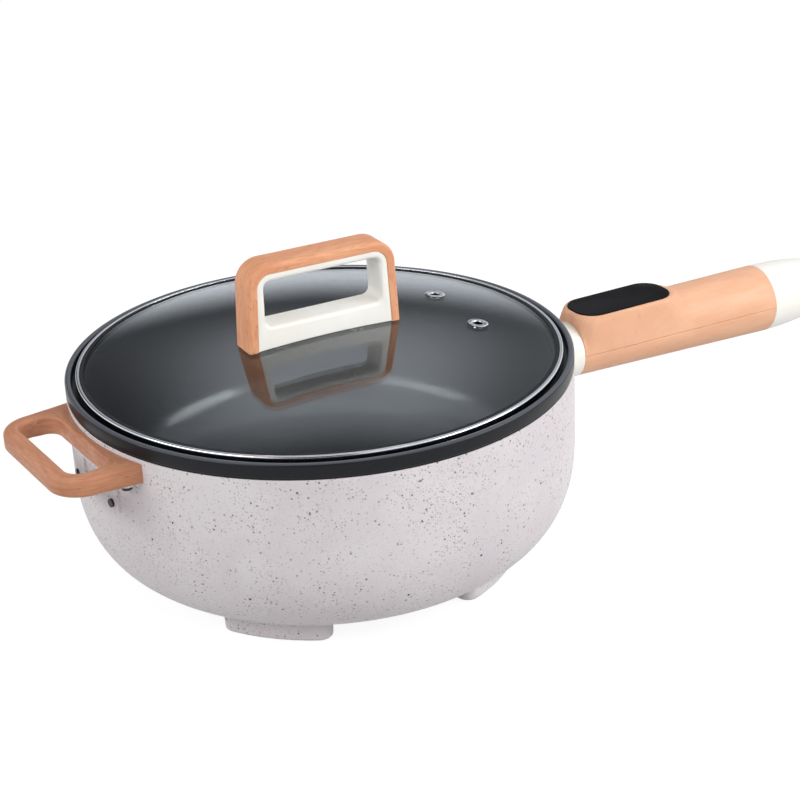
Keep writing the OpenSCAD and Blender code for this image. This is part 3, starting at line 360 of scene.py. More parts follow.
class Paint(Nodes):
    """A material under construction, with the patterns that finishes need. Its spot is a place on the object and
    its chart the object's own pair of lengths."""

    def __init__(self, name, **sockets):
        self.material = bpy.data.materials.new(name)
        self.material.use_nodes = True
        super().__init__(self.material.node_tree)
        self.shader = self.tree.nodes["Principled BSDF"]
        place = self.node("ShaderNodeTexCoord").outputs
        self.spot, self.chart = place["Object"], place["UV"]
        for socket, value in sockets.items():
            self.shader.inputs[socket.replace("_", " ")].default_value = value

    def link(self, output, socket):
        """Leads an output to one of the shader's sockets."""
        self.tree.links.new(output, self.shader.inputs[socket])

    def finished(self, colour, rough=None):
        """The material, with its colour pattern and, where there is one, its pattern of roughness."""
        self.link(colour, "Base Color")
        if rough:
            self.link(rough, "Roughness")
        return self.material

    def bump(self, height, depth, strength):
        """Leads a height pattern, as deep as given in millimetres, to the shader's normal."""
        made = self.node("ShaderNodeBump", {"Height": height, "Distance": depth * MM, "Strength": strength})
        self.link(made.outputs[0], "Normal")

    def noise(self, scale, detail=2.0, rough=0.5, vector=None):
        """A soft random value from 0 to 1 over the object, or over other coordinates."""
        inputs = {"Vector": vector or self.spot, "Scale": scale, "Detail": detail, "Roughness": rough}
        return self.node("ShaderNodeTexNoise", inputs).outputs["Fac"]

    def streaks(self, vector, stretch, detail, rough, turn=0.0):
        """Noise over coordinates that are turned about their third axis and then stretched."""
        spin = self.node("ShaderNodeMapping", {"Vector": vector, "Rotation": (0, 0, turn)})
        flat = self.node("ShaderNodeMapping", {"Vector": spin.outputs[0], "Scale": stretch})
        return self.noise(1.0, detail, rough, flat.outputs[0])

    def cloud(self, *noise, low=0.3, high=0.7, least=0.0):
        """Noise spread to the whole way from a least value to 1."""
        return self.between(self.noise(*noise), low, high, least)

    def profile_run(self):
        """Length along the profile of a turned piece: the second number of its chart, in metres."""
        return self.node("ShaderNodeSeparateXYZ", {"Vector": self.chart}).outputs["Y"]

    def within(self, value, start, stop, soft):
        """1 from a start to a stop and 0 outside, over a soft step ahead of each, all three in millimetres."""
        up = self.between(value, (start - soft) * MM, start * MM)
        return self.product(up, self.between(value, (stop - soft) * MM, stop * MM, 1, 0))

    def specks(self, scale, size, share, crowd):
        """Round dots: the cells of a random pattern whose own number is below a share, out to a size from their
        middle. The crowd value, from 0 to 1, thins the dots out or gathers them."""
        cells = self.node("ShaderNodeTexVoronoi", {"Vector": self.spot, "Scale": scale})
        parts = self.node("ShaderNodeSeparateColor", {"Color": cells.outputs["Color"]})
        chosen = self.math("LESS_THAN", parts.outputs[0], self.product(crowd, share))
        reach = self.between(parts.outputs[1], 0, 1, 0.55 * size, size)
        edge = self.math("SUBTRACT", reach, cells.outputs["Distance"])
        return self.product(chosen, self.between(edge, -0.03, 0.05))


def tone(red, green, blue):
    """A colour written as a screen shows it, from 0 to 255, as the light amounts that a shader takes."""
    screen = np.array([red, green, blue]) / 255
    light = np.where(screen <= 0.04045, screen / 12.92, ((screen + 0.055) / 1.055) ** 2.4)
    return (*light, 1.0)


BRIGHT_STEEL = tone(226, 227, 229)
DULL_STEEL = tone(206, 207, 210)
POLISH_MARKS = (500, 500, 90)


def speckled_coat():
    """Pale warm grey coat: a soft cloud, many faint specks, fewer brown and grey ones and scattered dark dots."""
    paint = Paint("speckled_coat", IOR=1.45, Specular_IOR_Level=0.3)
    base = paint.mix(paint.cloud(22, 3, 0.6), tone(211, 204, 208), tone(220, 215, 216))
    sand = paint.cloud(1100, 3, 0.7, low=0.4)
    base = paint.mix(paint.product(sand, 0.25), base, tone(182, 172, 175))
    crowd = paint.cloud(45, 3, 0.65, low=0.36, high=0.64, least=0.12)
    for scale, size, share, strength, colour in (
            (900, 0.42, 0.50, 0.40, tone(150, 136, 138)),
            (640, 0.36, 0.50, 0.50, tone(138, 124, 126)),
            (470, 0.32, 0.34, 0.66, tone(116, 98, 96)),
            (400, 0.27, 0.15, 0.85, tone(84, 78, 82)),
            (280, 0.22, 0.07, 0.98, tone(34, 30, 34))):
        dots = paint.specks(scale, size, share, crowd)
        base = paint.mix(paint.product(dots, strength), base, colour)
    grain = paint.noise(700)
    paint.bump(grain, 0.02, 0.5)
    return paint.finished(base, paint.between(grain, 0.3, 0.7, 0.42, 0.52))


def dark_coating():
    """Dark non-stick coat: near black with a faint cool fleck, glossier inside the pot, and paler on top of the
    lip as a painted highlight for its lit top. The length along the profile, from the middle of the floor, tells
    these places apart."""
    paint = Paint("dark_coating", IOR=1.5, Specular_IOR_Level=0.2, Coat_Roughness=0.2)
    run = paint.profile_run()
    fleck = paint.specks(900, 0.36, 0.3, paint.cloud(90))
    base = paint.mix(paint.product(fleck, 0.3), tone(23, 24, 28), tone(56, 58, 66))
    lip = paint.within(run, LIP_RUN, LIP_RUN + LIP_WIDTH, LIP_SOFT)
    inside = paint.between(run, (INNER_RUN - INNER_SOFT) * MM, INNER_RUN * MM, 1, 0)
    paint.link(paint.between(paint.math("MAXIMUM", inside, lip), 0, 1, 0, 0.6), "Coat Weight")
    grain = paint.noise(1400, 3, 0.6)
    paint.bump(grain, 0.012, 0.4)
    smooth = paint.between(inside, 0, 1, 0.34, 0.2)
    rough = paint.math("ADD", smooth, paint.between(grain, 0.2, 0.8, -0.03, 0.05))
    # The lip's paler tone is painted light: a painted highlight for the rim's lit top, not a colour of the coat.
    return paint.finished(paint.mix(lip, base, tone(70, 72, 80)), rough)


def wood_look(name, pale, deep, strokes=1.0):
    """Printed wood grain along the piece: mottled bands, long fibres and short strokes of a given strength."""
    paint = Paint(name, IOR=1.45, Specular_IOR_Level=0.3)
    bands = paint.streaks(paint.chart, (28, 110, 1), 3, 0.6)
    fibres = paint.streaks(paint.chart, (90, 900, 1), 3, 0.6)
    dashes = paint.streaks(paint.chart, (170, 620, 1), 2, 0.55, 0.5)
    middle = tuple(0.5 * (a + b) for a, b in zip(pale, deep))
    dark = tuple(0.6 * c for c in deep[:3]) + (1.0,)
    base = paint.mix(paint.between(bands, 0.34, 0.66), pale, middle)
    base = paint.mix(paint.between(fibres, 0.42, 0.72, 0, 0.6 * strokes), base, deep)
    base = paint.mix(paint.between(dashes, 0.6, 0.76, 0, 0.6 * strokes), base, dark)
    paint.bump(fibres, 0.03, 0.5)
    return paint.finished(base, paint.between(fibres, 0.3, 0.7, 0.42, 0.54))


def cream_plastic():
    """Cream moulded plastic: a faint cloud in its tone and a fine moulded texture."""
    paint = Paint("cream_plastic", IOR=1.46)
    grain = paint.noise(1800)
    paint.bump(grain, 0.01, 0.4)
    base = paint.mix(paint.cloud(40), tone(244, 241, 233), tone(248, 246, 240))
    return paint.finished(base, paint.between(grain, 0.3, 0.7, 0.32, 0.42))


def panel_gloss():
    """Black touch panel: deep black with a barely seen haze and a smooth face."""
    paint = Paint("panel_gloss", Specular_IOR_Level=0.03, IOR=1.5)
    haze = paint.cloud(60, 3)
    base = paint.mix(haze, tone(21, 20, 22), tone(25, 24, 26))
    return paint.finished(base, paint.between(haze, 0, 1, 0.10, 0.16))


def black_plastic():
    """Black moulded plastic with a fine spark-eroded texture."""
    paint = Paint("black_plastic", IOR=1.46)
    grain = paint.noise(1500, 3, 0.6)
    paint.bump(grain, 0.03, 0.5)
    base = paint.mix(grain, tone(24, 24, 25), tone(40, 40, 42))
    return paint.finished(base, paint.between(grain, 0.3, 0.7, 0.45, 0.62))


def rubber():
    """Dark matt silicone rubber with a dusty tone."""
    paint = Paint("rubber", IOR=1.4, Specular_IOR_Level=0.3)
    dust = paint.cloud(300, 4, 0.6)
    paint.bump(dust, 0.02, 0.4)
    base = paint.mix(dust, tone(30, 30, 31), tone(48, 48, 50))
    return paint.finished(base, paint.between(dust, 0, 1, 0.7, 0.85))


def metal(name, pale, deep, smooth, rough, stretch):
    """Bare metal: fine brush marks stretched along one axis change its tone and roughness."""
    paint = Paint(name, Metallic=1.0)
    marks = paint.streaks(paint.spot, stretch, 4, 0.6)
    paint.bump(marks, 0.004, 0.4)
    return paint.finished(paint.mix(marks, pale, deep), paint.between(marks, 0.3, 0.7, smooth, rough))


def vent_steel():
    """Polished steel of the vents: bright on the roll, with painted shade, near black, in the bore and below the
    roll.
    """
    paint = Paint("polished_steel_vent_painted_shade", Metallic=1.0)
    marks = paint.streaks(paint.spot, POLISH_MARKS, 4, 0.6)
    # Painted shade: outside this stretch of the roll the steel is painted near black, for the shade in the bore
    # and under the roll
    unshaded = paint.within(paint.profile_run(), UNSHADED_START, UNSHADED_START + UNSHADED_RUN, UNSHADED_SOFT)
    base = paint.mix(unshaded, tone(26, 26, 28), paint.mix(marks, BRIGHT_STEEL, DULL_STEEL))
    return paint.finished(base, paint.between(unshaded, 0, 1, 0.5, 0.12))


def lid_glass():
    """Clear tempered glass with a faint grey tint, which lets lamp light pass straight through."""
    paint = Paint("lid_glass", Roughness=0.0, IOR=1.5, Transmission_Weight=1.0)
    clear = paint.node("ShaderNodeBsdfTransparent", {"Color": tone(226, 231, 233)})
    lamp_ray = paint.node("ShaderNodeLightPath").outputs["Is Shadow Ray"]
    ways = {0: lamp_ray, 1: paint.shader.outputs[0], 2: clear.outputs[0]}
    both = paint.node("ShaderNodeMixShader", ways)
    paint.tree.links.new(both.outputs[0], paint.tree.nodes["Material Output"].inputs["Surface"])
    return paint.finished(paint.mix(paint.cloud(25), tone(236, 241, 242), tone(241, 245, 246)))


def plain_body(name, pale, deep, rough):
    """Small inner piece: two close tones in a fine cloud, and an even roughness."""
    paint = Paint(name, Roughness=rough)
    cloud = paint.noise(500, 3)
    paint.bump(cloud, 0.01, 0.3)
    return paint.finished(paint.mix(cloud, pale, deep))


finishes = {
    "speckled_coat": speckled_coat(),
    "dark_coating": dark_coating(),
    "wood_look": wood_look("wood_look", tone(234, 172, 132), tone(210, 136, 98)),
    "cream_plastic": cream_plastic(),
    "panel_gloss": panel_gloss(),
    "black_plastic": black_plastic(),
    "rubber": rubber(),
    "polished_steel": metal("polished_steel", BRIGHT_STEEL, DULL_STEEL, 0.08, 0.16, POLISH_MARKS),
    "steel": metal("steel", tone(205, 206, 208), tone(176, 177, 180), 0.24, 0.38, (900, 900, 60)),
    "aluminium": metal("aluminium", tone(214, 214, 216), tone(188, 188, 191), 0.34, 0.5, (300, 300, 300)),
    "lid_glass": lid_glass(),
    "fuse_body": plain_body("fuse_body", tone(232, 227, 210), tone(220, 214, 196), 0.5),
    "circuit_board": plain_body("circuit_board", tone(24, 88, 52), tone(16, 70, 40), 0.4),
    "contact_brass": metal("contact_brass", tone(222, 190, 112), tone(196, 160, 84), 0.2, 0.34, (700, 90, 700)),
    "wire_sleeve": plain_body("wire_sleeve", tone(168, 44, 34), tone(146, 34, 26), 0.55),
}
vent_finish = vent_steel()
# Steel darkened as painted shade, for the helper handle's fixings that sit in shade
fixing_steel_painted_shade = metal("steel_painted_shade", tone(72, 72, 75), tone(52, 52, 55), 0.35, 0.5, (900, 900, 60))
# Lit and shaded copies of the one wood-look finish: the grip's paler copy is painted light for the lamp-lit long
# handle, and the helper's darker copy below is painted shade for the handle on the less lit side
grip_wood_painted_light = wood_look("wood_look_grip_painted_light", tone(238, 186, 152), tone(226, 167, 132), 0.3)
helper_wood_painted_shade = wood_look("wood_look_helper_painted_shade", tone(202, 144, 112), tone(166, 106, 77))


# Pieces of the pot and the shell


def pot_profile():
    """Profile of the coated pot: floor, round corner, wall, lid step, lip, rim band and outside."""
    inner = np.array([POT_INNER - POT_CORNER, FLOOR_Z + POT_CORNER])
    ledge = RIM_Z - LEDGE_DEPTH
    band = RIM_Z - BAND_HEIGHT
    return np.vstack([
        [[0, FLOOR_Z]],
        arc(inner, POT_CORNER, -90, 0, 28),
        arc((POT_INNER + SOFT_EDGE, ledge - SOFT_EDGE), SOFT_EDGE, 180, 90, 5),
        [[LIP_INNER, ledge]],
        arc((LIP_INNER + LIP_ROUND, RIM_Z - LIP_ROUND), LIP_ROUND, 180, 90, 8),
        arc((RIM_RADIUS - LIP_ROUND, RIM_Z - LIP_ROUND), LIP_ROUND, 90, 0, 8),
        arc((RIM_RADIUS - SOFT_EDGE, band + SOFT_EDGE), SOFT_EDGE, 0, -90, 5),
        [[POT_INNER + POT_WALL, band]],
        arc(inner, POT_CORNER + POT_WALL, 0, -90, 28),
        [[0, pot_lo[2]]],
    ])


def shell_wall(inset):
    """Points of the shell's round corner, spaced by the superellipse's own angle from bottom to upright."""
    a = np.radians(np.linspace(0, 90, 40))
    wide = RIM_RADIUS - SHELL_FLAT - inset
    high = SHELL_BEND_TOP - SHELL_Z - inset
    return np.stack([SHELL_FLAT + wide * np.sin(a) ** (2 / SHELL_POWER),
                     SHELL_BEND_TOP - high * np.cos(a) ** (2 / SHELL_POWER)], -1)


def shell_profile():
    """Profile of the shell: outside from the axis up to the rim, over the edge and back inside."""
    return np.vstack([
        [[0, SHELL_Z]],
        shell_wall(0),
        arc((RIM_RADIUS - SOFT_EDGE, SHELL_TOP - SOFT_EDGE), SOFT_EDGE, 0, 90, 5),
        [[RIM_RADIUS - SHELL_WALL, SHELL_TOP]],
        shell_wall(SHELL_WALL)[::-1],
        [[0, SHELL_Z + SHELL_WALL]],
    ])


add_piece("speckled_shell", [surface(revolve(shell_profile()), wrap_cols=False)], "cooker", ["outer_shell"],
          "speckled_coat")
add_piece("coated_pot", [surface(revolve(pot_profile()), wrap_cols=False)], "cooker", ["inner_pot"],
          "dark_coating")


def foot_outline(shrink):
    """One foot from above: a stretch of a ring with four rounded corners, drawn in by some distance."""
    half = math.radians(FOOT_SPAN / 2)
    outer, inner = FOOT_OUTER - shrink, FOOT_INNER + shrink
    corner = FOOT_CORNER - shrink / 2
    turns = [half - math.asin((corner + shrink) / reach) for reach in (outer - corner, inner + corner)]
    far = (outer - corner) * np.array([math.cos(turns[0]), math.sin(turns[0])])
    near = (inner + corner) * np.array([math.cos(turns[1]), math.sin(turns[1])])
    wide, slim, side = math.degrees(turns[0]), math.degrees(turns[1]), math.degrees(half) + 90
    top = np.vstack([
        arc((0, 0), outer, 0, wide, 9)[:-1],
        arc(far, corner, wide, side, 9),
        arc(near, corner, side, slim + 180, 9)[:-1],
        arc((0, 0), inner, slim, 0, 9)[:-1],
    ])
    return np.vstack([top, [[inner, 0]], (top * [1, -1])[:0:-1]])


def capped(rows, start, stop):
    """Rows of a tube closed by a point at either end."""
    ends = [np.broadcast_to(np.array(point, float), np.shape(rows[:1])) for point in (start, stop)]
    return np.concatenate([ends[0], rows, ends[1]])


def offset_rows(rim, way, section):
    """One outline for each (distance, height) of a section: the rim moved outwards by the distance."""
    return [np.column_stack([rim + way * x, np.full(len(rim), z)]) for x, z in section]


def foot_surface(angle):
    """A foot on its rubber pad: rounded lower edge, upright wall and a fillet that flares out under the shell."""
    start = FOOT_Z + FOOT_EDGE
    rim = foot_outline(0)
    way = rim - foot_outline(1.0)
    lower = offset_rows(rim, way, arc((-FOOT_EDGE, start), FOOT_EDGE, 270, 360, 8))
    t = np.linspace(0, 1, 8)[1:, None, None]
    flat = rim + way * FOOT_FILLET * t ** 3
    under = shell_side(np.linalg.norm(flat, axis=2, keepdims=True)) + FOOT_SINK
    upper = np.concatenate([flat, start + (under - start) * t], 2)
    middle = (FOOT_OUTER + FOOT_INNER) / 2
    grid = capped([*lower, *upper], (middle, 0, FOOT_Z), (middle, 0, shell_side(middle) + FOOT_SINK))
    return surface(turned(grid, angle) + [AXIS_X, 0, 0], wrap_rows=False)


add_piece("low_feet", [foot_surface(a) for a in FOOT_ANGLES], "cooker", ["feet"], "speckled_coat")


# Pieces of the lid


def ring_profile():
    """Section of the lid's rolled steel ring: a channel round the glass's edge, rounded where it turns."""
    low, high = ring_lo[2], ring_hi[2]
    opening = RING_OUTER - RING_SHEET - RING_FLANGE
    inside = RING_OUTER - RING_SHEET
    return np.vstack([
        [[opening, low]],
        arc((RING_OUTER - SOFT_EDGE, low + SOFT_EDGE), SOFT_EDGE, -90, 0, 6),
        arc((RING_OUTER - RING_ROLL, high - RING_ROLL), RING_ROLL, 0, 90, 9),
        arc((opening + RING_SHEET / 2, high - RING_SHEET / 2), RING_SHEET / 2, 90, 270, 7),
        [[inside, high - RING_SHEET], [inside, low + RING_SHEET], [opening, low + RING_SHEET]],
    ])


def glass_profile():
    """Profile of the glass: the dome's top from the axis to its edge, and its lower face back to the axis."""
    r = np.linspace(0, GLASS_RADIUS, 48)
    return np.vstack([np.column_stack([r, dome_top(r)]), np.column_stack([r, dome_top(r) - GLASS_WALL])[::-1]])


def at_vent(points, side):
    """Carries points about the pot's axis to one vent, square to the glass there."""
    leaning = tipped(points - [AXIS_X, 0, 0], -math.asin(VENT_CIRCLE / DOME_RADIUS))
    on_glass = leaning + [VENT_CIRCLE, 0, dome_top(VENT_CIRCLE)]
    return turned(on_glass, VENT_TURN + side * VENT_ANGLE) + [AXIS_X, 0, 0]


def vent_profile():
    """Section of a vent's steel eyelet: a rolled flange like half a ring, a barrel and a curled lower end."""
    barrel = VENT_HOLE + VENT_SHEET
    low = -GLASS_WALL - VENT_SHEET - VENT_LIFT
    wide = (VENT_FLANGE - VENT_HOLE) / 2
    return np.vstack([
        [[VENT_HOLE, low]],
        arc((VENT_HOLE + wide, VENT_LIFT), (wide, VENT_SHEET), 180, 0, 16),
        [[barrel, VENT_LIFT], [barrel, low + VENT_SHEET]],
        arc((barrel + VENT_CURL, low + VENT_SHEET / 2), VENT_SHEET / 2, 90, -90, 5),
    ])


def drilled(piece, grids):
    """Cuts a hole for each pin, given as a closed grid, through a piece and keeps the result as its mesh."""
    for grid in grids:
        points, faces, _ = surface(grid, wrap_cols=False)
        pin = placed("pin", quad_mesh("pin", points, faces))
        cut = piece.modifiers.new("hole", "BOOLEAN")
        cut.operation, cut.solver, cut.object = "DIFFERENCE", "EXACT", pin
        bpy.context.view_layer.update()
        made = bpy.data.meshes.new_from_object(piece.evaluated_get(bpy.context.evaluated_depsgraph_get()))
        piece.modifiers.clear()
        piece.data = made
        bpy.data.objects.remove(pin)


glass = add_piece("glass_dome", [surface(revolve(glass_profile()), wrap_cols=False)], "lid", ["lid_glass"],
                  "lid_glass")
hole = VENT_HOLE + VENT_SHEET + VENT_PLAY
pin = revolve([[0, -PIN_LENGTH], [hole, -PIN_LENGTH], [hole, PIN_LENGTH], [0, PIN_LENGTH]], PIN_STEPS)
drilled(glass, [at_vent(pin, side) for side in (-1, 1)])
add_piece("rolled_ring", [surface(revolve(ring_profile()))], "lid", ["lid_ring"], "polished_steel")
eyelet = revolve(vent_profile(), VENT_STEPS)
add_piece("steam_vents", [surface(at_vent(eyelet, side)) for side in (-1, 1)], "lid",
          ["vent_grommets"], "polished_steel", vent_finish)

# Middle of the lid handle's round shoulder, and where its legs meet the glass
SHOULDER_Z = strap_hi[2] - STRAP_CORNER
STRAP_FOOT = dome_top(STRAP_HALF)
SHOULDER_X = (STRAP_HALF - STRAP_CORNER / math.cos(STRAP_DRAFT)
              - (SHOULDER_Z - STRAP_FOOT) * math.tan(STRAP_DRAFT))


def strap_half(z, inset):
    """Half of the lid handle's length at a height: leaning straight ends, drawn in by some distance."""
    return (SHOULDER_X + (STRAP_CORNER - inset) / math.cos(STRAP_DRAFT)
            + (SHOULDER_Z - z) * math.tan(STRAP_DRAFT))


def soft_section(length, width, near, far, steps=6):
    """Rounded rectangles as wide as given, one row for each length, with radii at the near and far corners. They
    start at zero and lie half their width either side."""
    half = width / 2
    bends = [(x, z, r, np.radians(np.linspace(start, start - 90, steps))) for x, z, r, start in (
        (near, half - near, near, 180), (length - far, half - far, far, 90),
        (length - far, far - half, far, 0), (near, near - half, near, -90))]
    along = np.concatenate([x + r * np.cos(a) for x, _, r, a in bends], 1)
    return along, np.concatenate([z + r * np.sin(a) for _, z, r, a in bends], 1)


def strap_surface():
    """The wood-look strap: a rounded section carried up one leaning leg, over both shoulders and down the other.
    A section point lies some depth inside the outline and some way across; the legs end on the glass."""
    length, near, far = np.array([STRAP_WALL, STRAP_EDGE, STRAP_INNER_EDGE]).reshape(3, 1, 1)
    depth, across = (row[0] for row in soft_section(length, STRAP_WIDTH, near, far))
    reach = STRAP_CORNER - depth
    knee_z = SHOULDER_Z + reach * math.sin(STRAP_DRAFT)
    foot_x = strap_half(STRAP_FOOT, depth)
    foot_z = dome_top(np.hypot(foot_x, across)) + GLASS_SEAT
    t = np.linspace(0, 1, 26)[:, None]
    leg_z = foot_z + (knee_z - foot_z) * t
    leg = np.stack([strap_half(leg_z, depth), across + 0 * t, leg_z], -1)
    a = np.linspace(STRAP_DRAFT, np.pi / 2, 18)[1:, None]
    bend = np.stack([SHOULDER_X + reach * np.cos(a), across + 0 * a, SHOULDER_Z + reach * np.sin(a)], -1)
    tip = np.stack([foot_x, across, foot_z], -1).mean(0)
    tip[2] = dome_top(tip[0]) + GLASS_SEAT
    half = np.concatenate([np.broadcast_to(tip, (1, len(depth), 3)), leg, bend])
    top = np.linspace(1, -1, 24)[1:-1, None, None] * half[-1:] * [1, 0, 0] + half[-1:] * [0, 1, 1]
    whole = np.concatenate([half, top, (half * [-1, 1, 1])[::-1]])
    return surface(whole + [AXIS_X, 0, 0], wrap_rows=False)


def with_mirror(half, flip):
    """Half an outline, from one point of the mirror line to another, closed by its mirror image."""
    return np.vstack([half, (half * flip)[-2:0:-1]])


def core_outlines():
    """Matching outer and window outlines of the handle's core, from the middle of the floor round."""
    window = STRAP_WALL + CORE_WALL
    lean = math.degrees(STRAP_DRAFT)
    floor_z = RIM_Z + CORE_FLOOR
    turn_z = floor_z + CORE_CORNER
    turn_x = strap_half(turn_z, window + CORE_CORNER)
    foot_x = strap_half(STRAP_FOOT, STRAP_WALL)
    foot_z = dome_top(foot_x) + GLASS_SEAT
    low = np.linspace(0, foot_x, 14, endpoint=False)
    outer_floor = np.column_stack([low, dome_top(low) + GLASS_SEAT])
    inner_floor = line((0, floor_z), (turn_x, floor_z), 14)
    outlines = []
    for inset, floor, turn in (
            (STRAP_WALL, outer_floor, np.repeat([[foot_x, foot_z]], 9, 0)),
            (window, inner_floor, arc((turn_x, turn_z), CORE_CORNER, -90, lean, 9))):
        bend = arc((SHOULDER_X, SHOULDER_Z), STRAP_CORNER - inset, lean, 90, 12)
        side = line(turn[-1], bend[0], 12)[1:]
        top = (0, bend[-1, 1])
        half = np.vstack([floor, turn, side, bend, line(bend[-1], top, 12)[1:], [top]])
        outlines.append(with_mirror(half, [-1, 1]))
    return outlines


def loop_points(outer, inner, width, near, far, share, steps=6):
    """A closed loop whose soft section runs from an outer outline to an inner one: flat places, and levels along
    the third axis. The far corners' radius is held to a share of the way between the outlines."""
    gap = inner - outer
    length = np.linalg.norm(gap, axis=1, keepdims=True)
    along, level = soft_section(length, width, near, np.minimum(far, share * length), steps)
    return outer[:, None, :] + (gap / length)[:, None, :] * along[..., None], level


def core_surface():
    """The pale core of the lid handle: a loop in the upright plane with soft edges round the finger gap."""
    outer, inner = core_outlines()
    near = np.full((len(outer), 1), CORE_OUTER_EDGE)
    flat, level = loop_points(outer, inner, CORE_WIDTH, near, CORE_EDGE, CORE_EDGE_SHARE, 7)
    return surface(np.stack([AXIS_X + flat[..., 0], level, flat[..., 1]], -1))


add_piece("wood_strap", [strap_surface()], "lid", ["handle_strap"], "wood_look")
add_piece("cream_core", [core_surface()], "lid", ["handle_core"], "cream_plastic", crease=60)


# Helper handle


def helper_outlines():
    """Matching outer and window outlines of the helper handle, from the middle of its outer bar round."""
    outer_x = RIM_RADIUS + HELPER_REACH
    seat = RIM_RADIUS + HELPER_GAP
    wide = HELPER_HALF + HELPER_FLARE
    base = np.array([math.sqrt(seat ** 2 - wide ** 2), wide])
    bar_y, bar_x = HELPER_HALF - HELPER_CORNER, outer_x - HELPER_CORNER
    neck = RIM_RADIUS + HELPER_WEB
    inner_x, inner_y = outer_x - HELPER_BAR, HELPER_HALF - HELPER_SIDE
    far_x, turn_y, near_x = inner_x - WINDOW_CORNER, inner_y - WINDOW_CORNER, neck + WINDOW_CORNER
    base_angle = math.degrees(math.asin(wide / seat))
    outer = np.vstack([
        line((outer_x, 0), (outer_x, bar_y), 14),
        arc((bar_x, bar_y), HELPER_CORNER, 0, 90, 16)[:-1],
        line((bar_x, HELPER_HALF), base, 12),
        np.repeat([base], 9, 0),
        arc((0, 0), seat, base_angle, 0, 20)[1:],
    ])
    inner = np.vstack([
        line((inner_x, 0), (inner_x, turn_y), 14),
        arc((far_x, turn_y), WINDOW_CORNER, 0, 90, 16)[:-1],
        line((far_x, inner_y), (near_x, inner_y), 12),
        arc((near_x, turn_y), WINDOW_CORNER, 90, 180, 9),
        line((neck, turn_y), (neck, 0), 19)[1:],
        [[neck, 0]],
    ])
    return with_mirror(outer, [1, -1]), with_mirror(inner, [1, -1])


def helper_surface():
    """The flat wood-look loop: soft edges all round, and a near square edge where it meets the shell."""
    outer, inner = helper_outlines()
    low, high = helper_lo[2], helper_hi[2]
    on_shell = np.hypot(*outer.T) < RIM_RADIUS + 3 * HELPER_GAP
    near = np.convolve(np.where(on_shell, HELPER_SHELL_EDGE, HELPER_EDGE), np.ones(5) / 5, "same")[:, None]
    near[[0, 1, -2, -1]] = HELPER_EDGE
    flat, level = loop_points(outer, inner, high - low, near, WINDOW_EDGE, WINDOW_EDGE_SHARE)
    grid = np.concatenate([flat, level[..., None] + (low + high) / 2], -1)
    return surface(turned(grid, HELPER_TURN) + [AXIS_X, 0, 0])


add_piece("helper_loop", [helper_surface()], "cooker", ["helper_handle"], "wood_look", helper_wood_painted_shade)


# Long handle


def rounded_ends(start, stop, edge, count):
    """Stations along a bar and how far each is drawn in: a quarter round at either end."""
    a = np.radians(np.linspace(0, 90, 6))
    first = start + edge * (1 - np.sin(a)[::-1])
    straight = np.linspace(start + edge, stop - edge, count)[1:-1]
    s = np.concatenate([first, straight, (start + stop - first)[::-1]])
    inset = edge * (1 - np.sin(a))
    return s, np.concatenate([inset, np.zeros(count - 2), inset[::-1]])


def half_round(radius):
    """Upper half of a disc with its two lower corners rounded, and its flat face a split gap above zero."""
    low = SPLIT_GAP + GRIP_EDGE
    rise = math.degrees(math.asin(low / GRIP_START))
    a = np.radians(np.linspace(rise, 180 - rise, HANDLE_STEPS))
    x, up = arc((0, 0), GRIP_EDGE, -90, 0, 5).T
    corner_y = radius - GRIP_EDGE + x
    corner_z = low + up + 0 * radius
    y = np.concatenate([corner_y, radius * np.cos(a), -corner_y[:, ::-1]], 1)
    return y, np.concatenate([corner_z, radius * np.sin(a), corner_z[:, ::-1]], 1)


def smooth_step(value, start, stop):
    """0 before the start, 1 after the stop, and an even S-curve between them."""
    t = np.clip((value - start) / (stop - start), 0, 1)
    return t * t * (3 - 2 * t)


def beside_pad(s, y):
    """Distance of a point, seen from above, outside the pad's outline: a rectangle with rounded corners."""
    corner = PANEL_CORNER + PAD_MARGIN
    far = np.abs(s - PANEL_MID) - (PANEL_LENGTH / 2 + PAD_MARGIN - corner)
    wide = np.abs(y) - (PANEL_WIDTH / 2 + PAD_MARGIN - corner)
    return np.hypot(np.maximum(far, 0), np.maximum(wide, 0)) - corner


def raised_pad(s, y, z):
    """Heights of the grip's upper face with the pad on it: inside the outline the face lies just below the pad's
    top. Outside it sinks back in an S-curve, a little longer at the far end, and it keeps the split line."""
    reach = PAD_NECK + (PAD_RAMP - PAD_NECK) * smooth_step(s, PANEL_MID, PANEL_MID + PANEL_LENGTH / 2)
    share = 1 - smooth_step(beside_pad(s, y) / reach, 0, 1)
    share = share * smooth_step(z / GRIP_START, 0, 0.5)
    return z + np.maximum(PAD_TOP - PAD_SINK - z, 0) * share


def grip_half(side):
    """One half of the tapered grip: a half-disc section along the handle, closed at both ends. The upper half's
    crown rises evenly from the cap to the panel's far end and carries the pad. Its chart runs along and round."""
    s, inset = rounded_ends(COLLAR_LENGTH, GRIP_STOP, GRIP_EDGE, 260)
    y, z = half_round((grip_radius(s) - inset)[:, None])
    along = s[:, None] + 0 * y
    around = grip_radius(along) * np.arctan2(y, z)
    if side > 0:
        places = (COLLAR_LENGTH, PANEL_MID + PANEL_LENGTH / 2, GRIP_STOP)
        lean = np.interp(along, places, (CROWN_RISE, CROWN_PEAK, 0))
        z = raised_pad(along, y, z + lean * smooth_step(z, 0, GRIP_START))
    flat = side * SPLIT_GAP
    grid = capped(np.stack([along, y, side * z], -1), (COLLAR_LENGTH, 0, flat), (GRIP_STOP, 0, flat))
    chart = np.stack([along, around], -1)
    chart = np.concatenate([chart[:1], chart, chart[-1:]])
    return surface(on_handle(grid), wrap_rows=False, chart=chart)


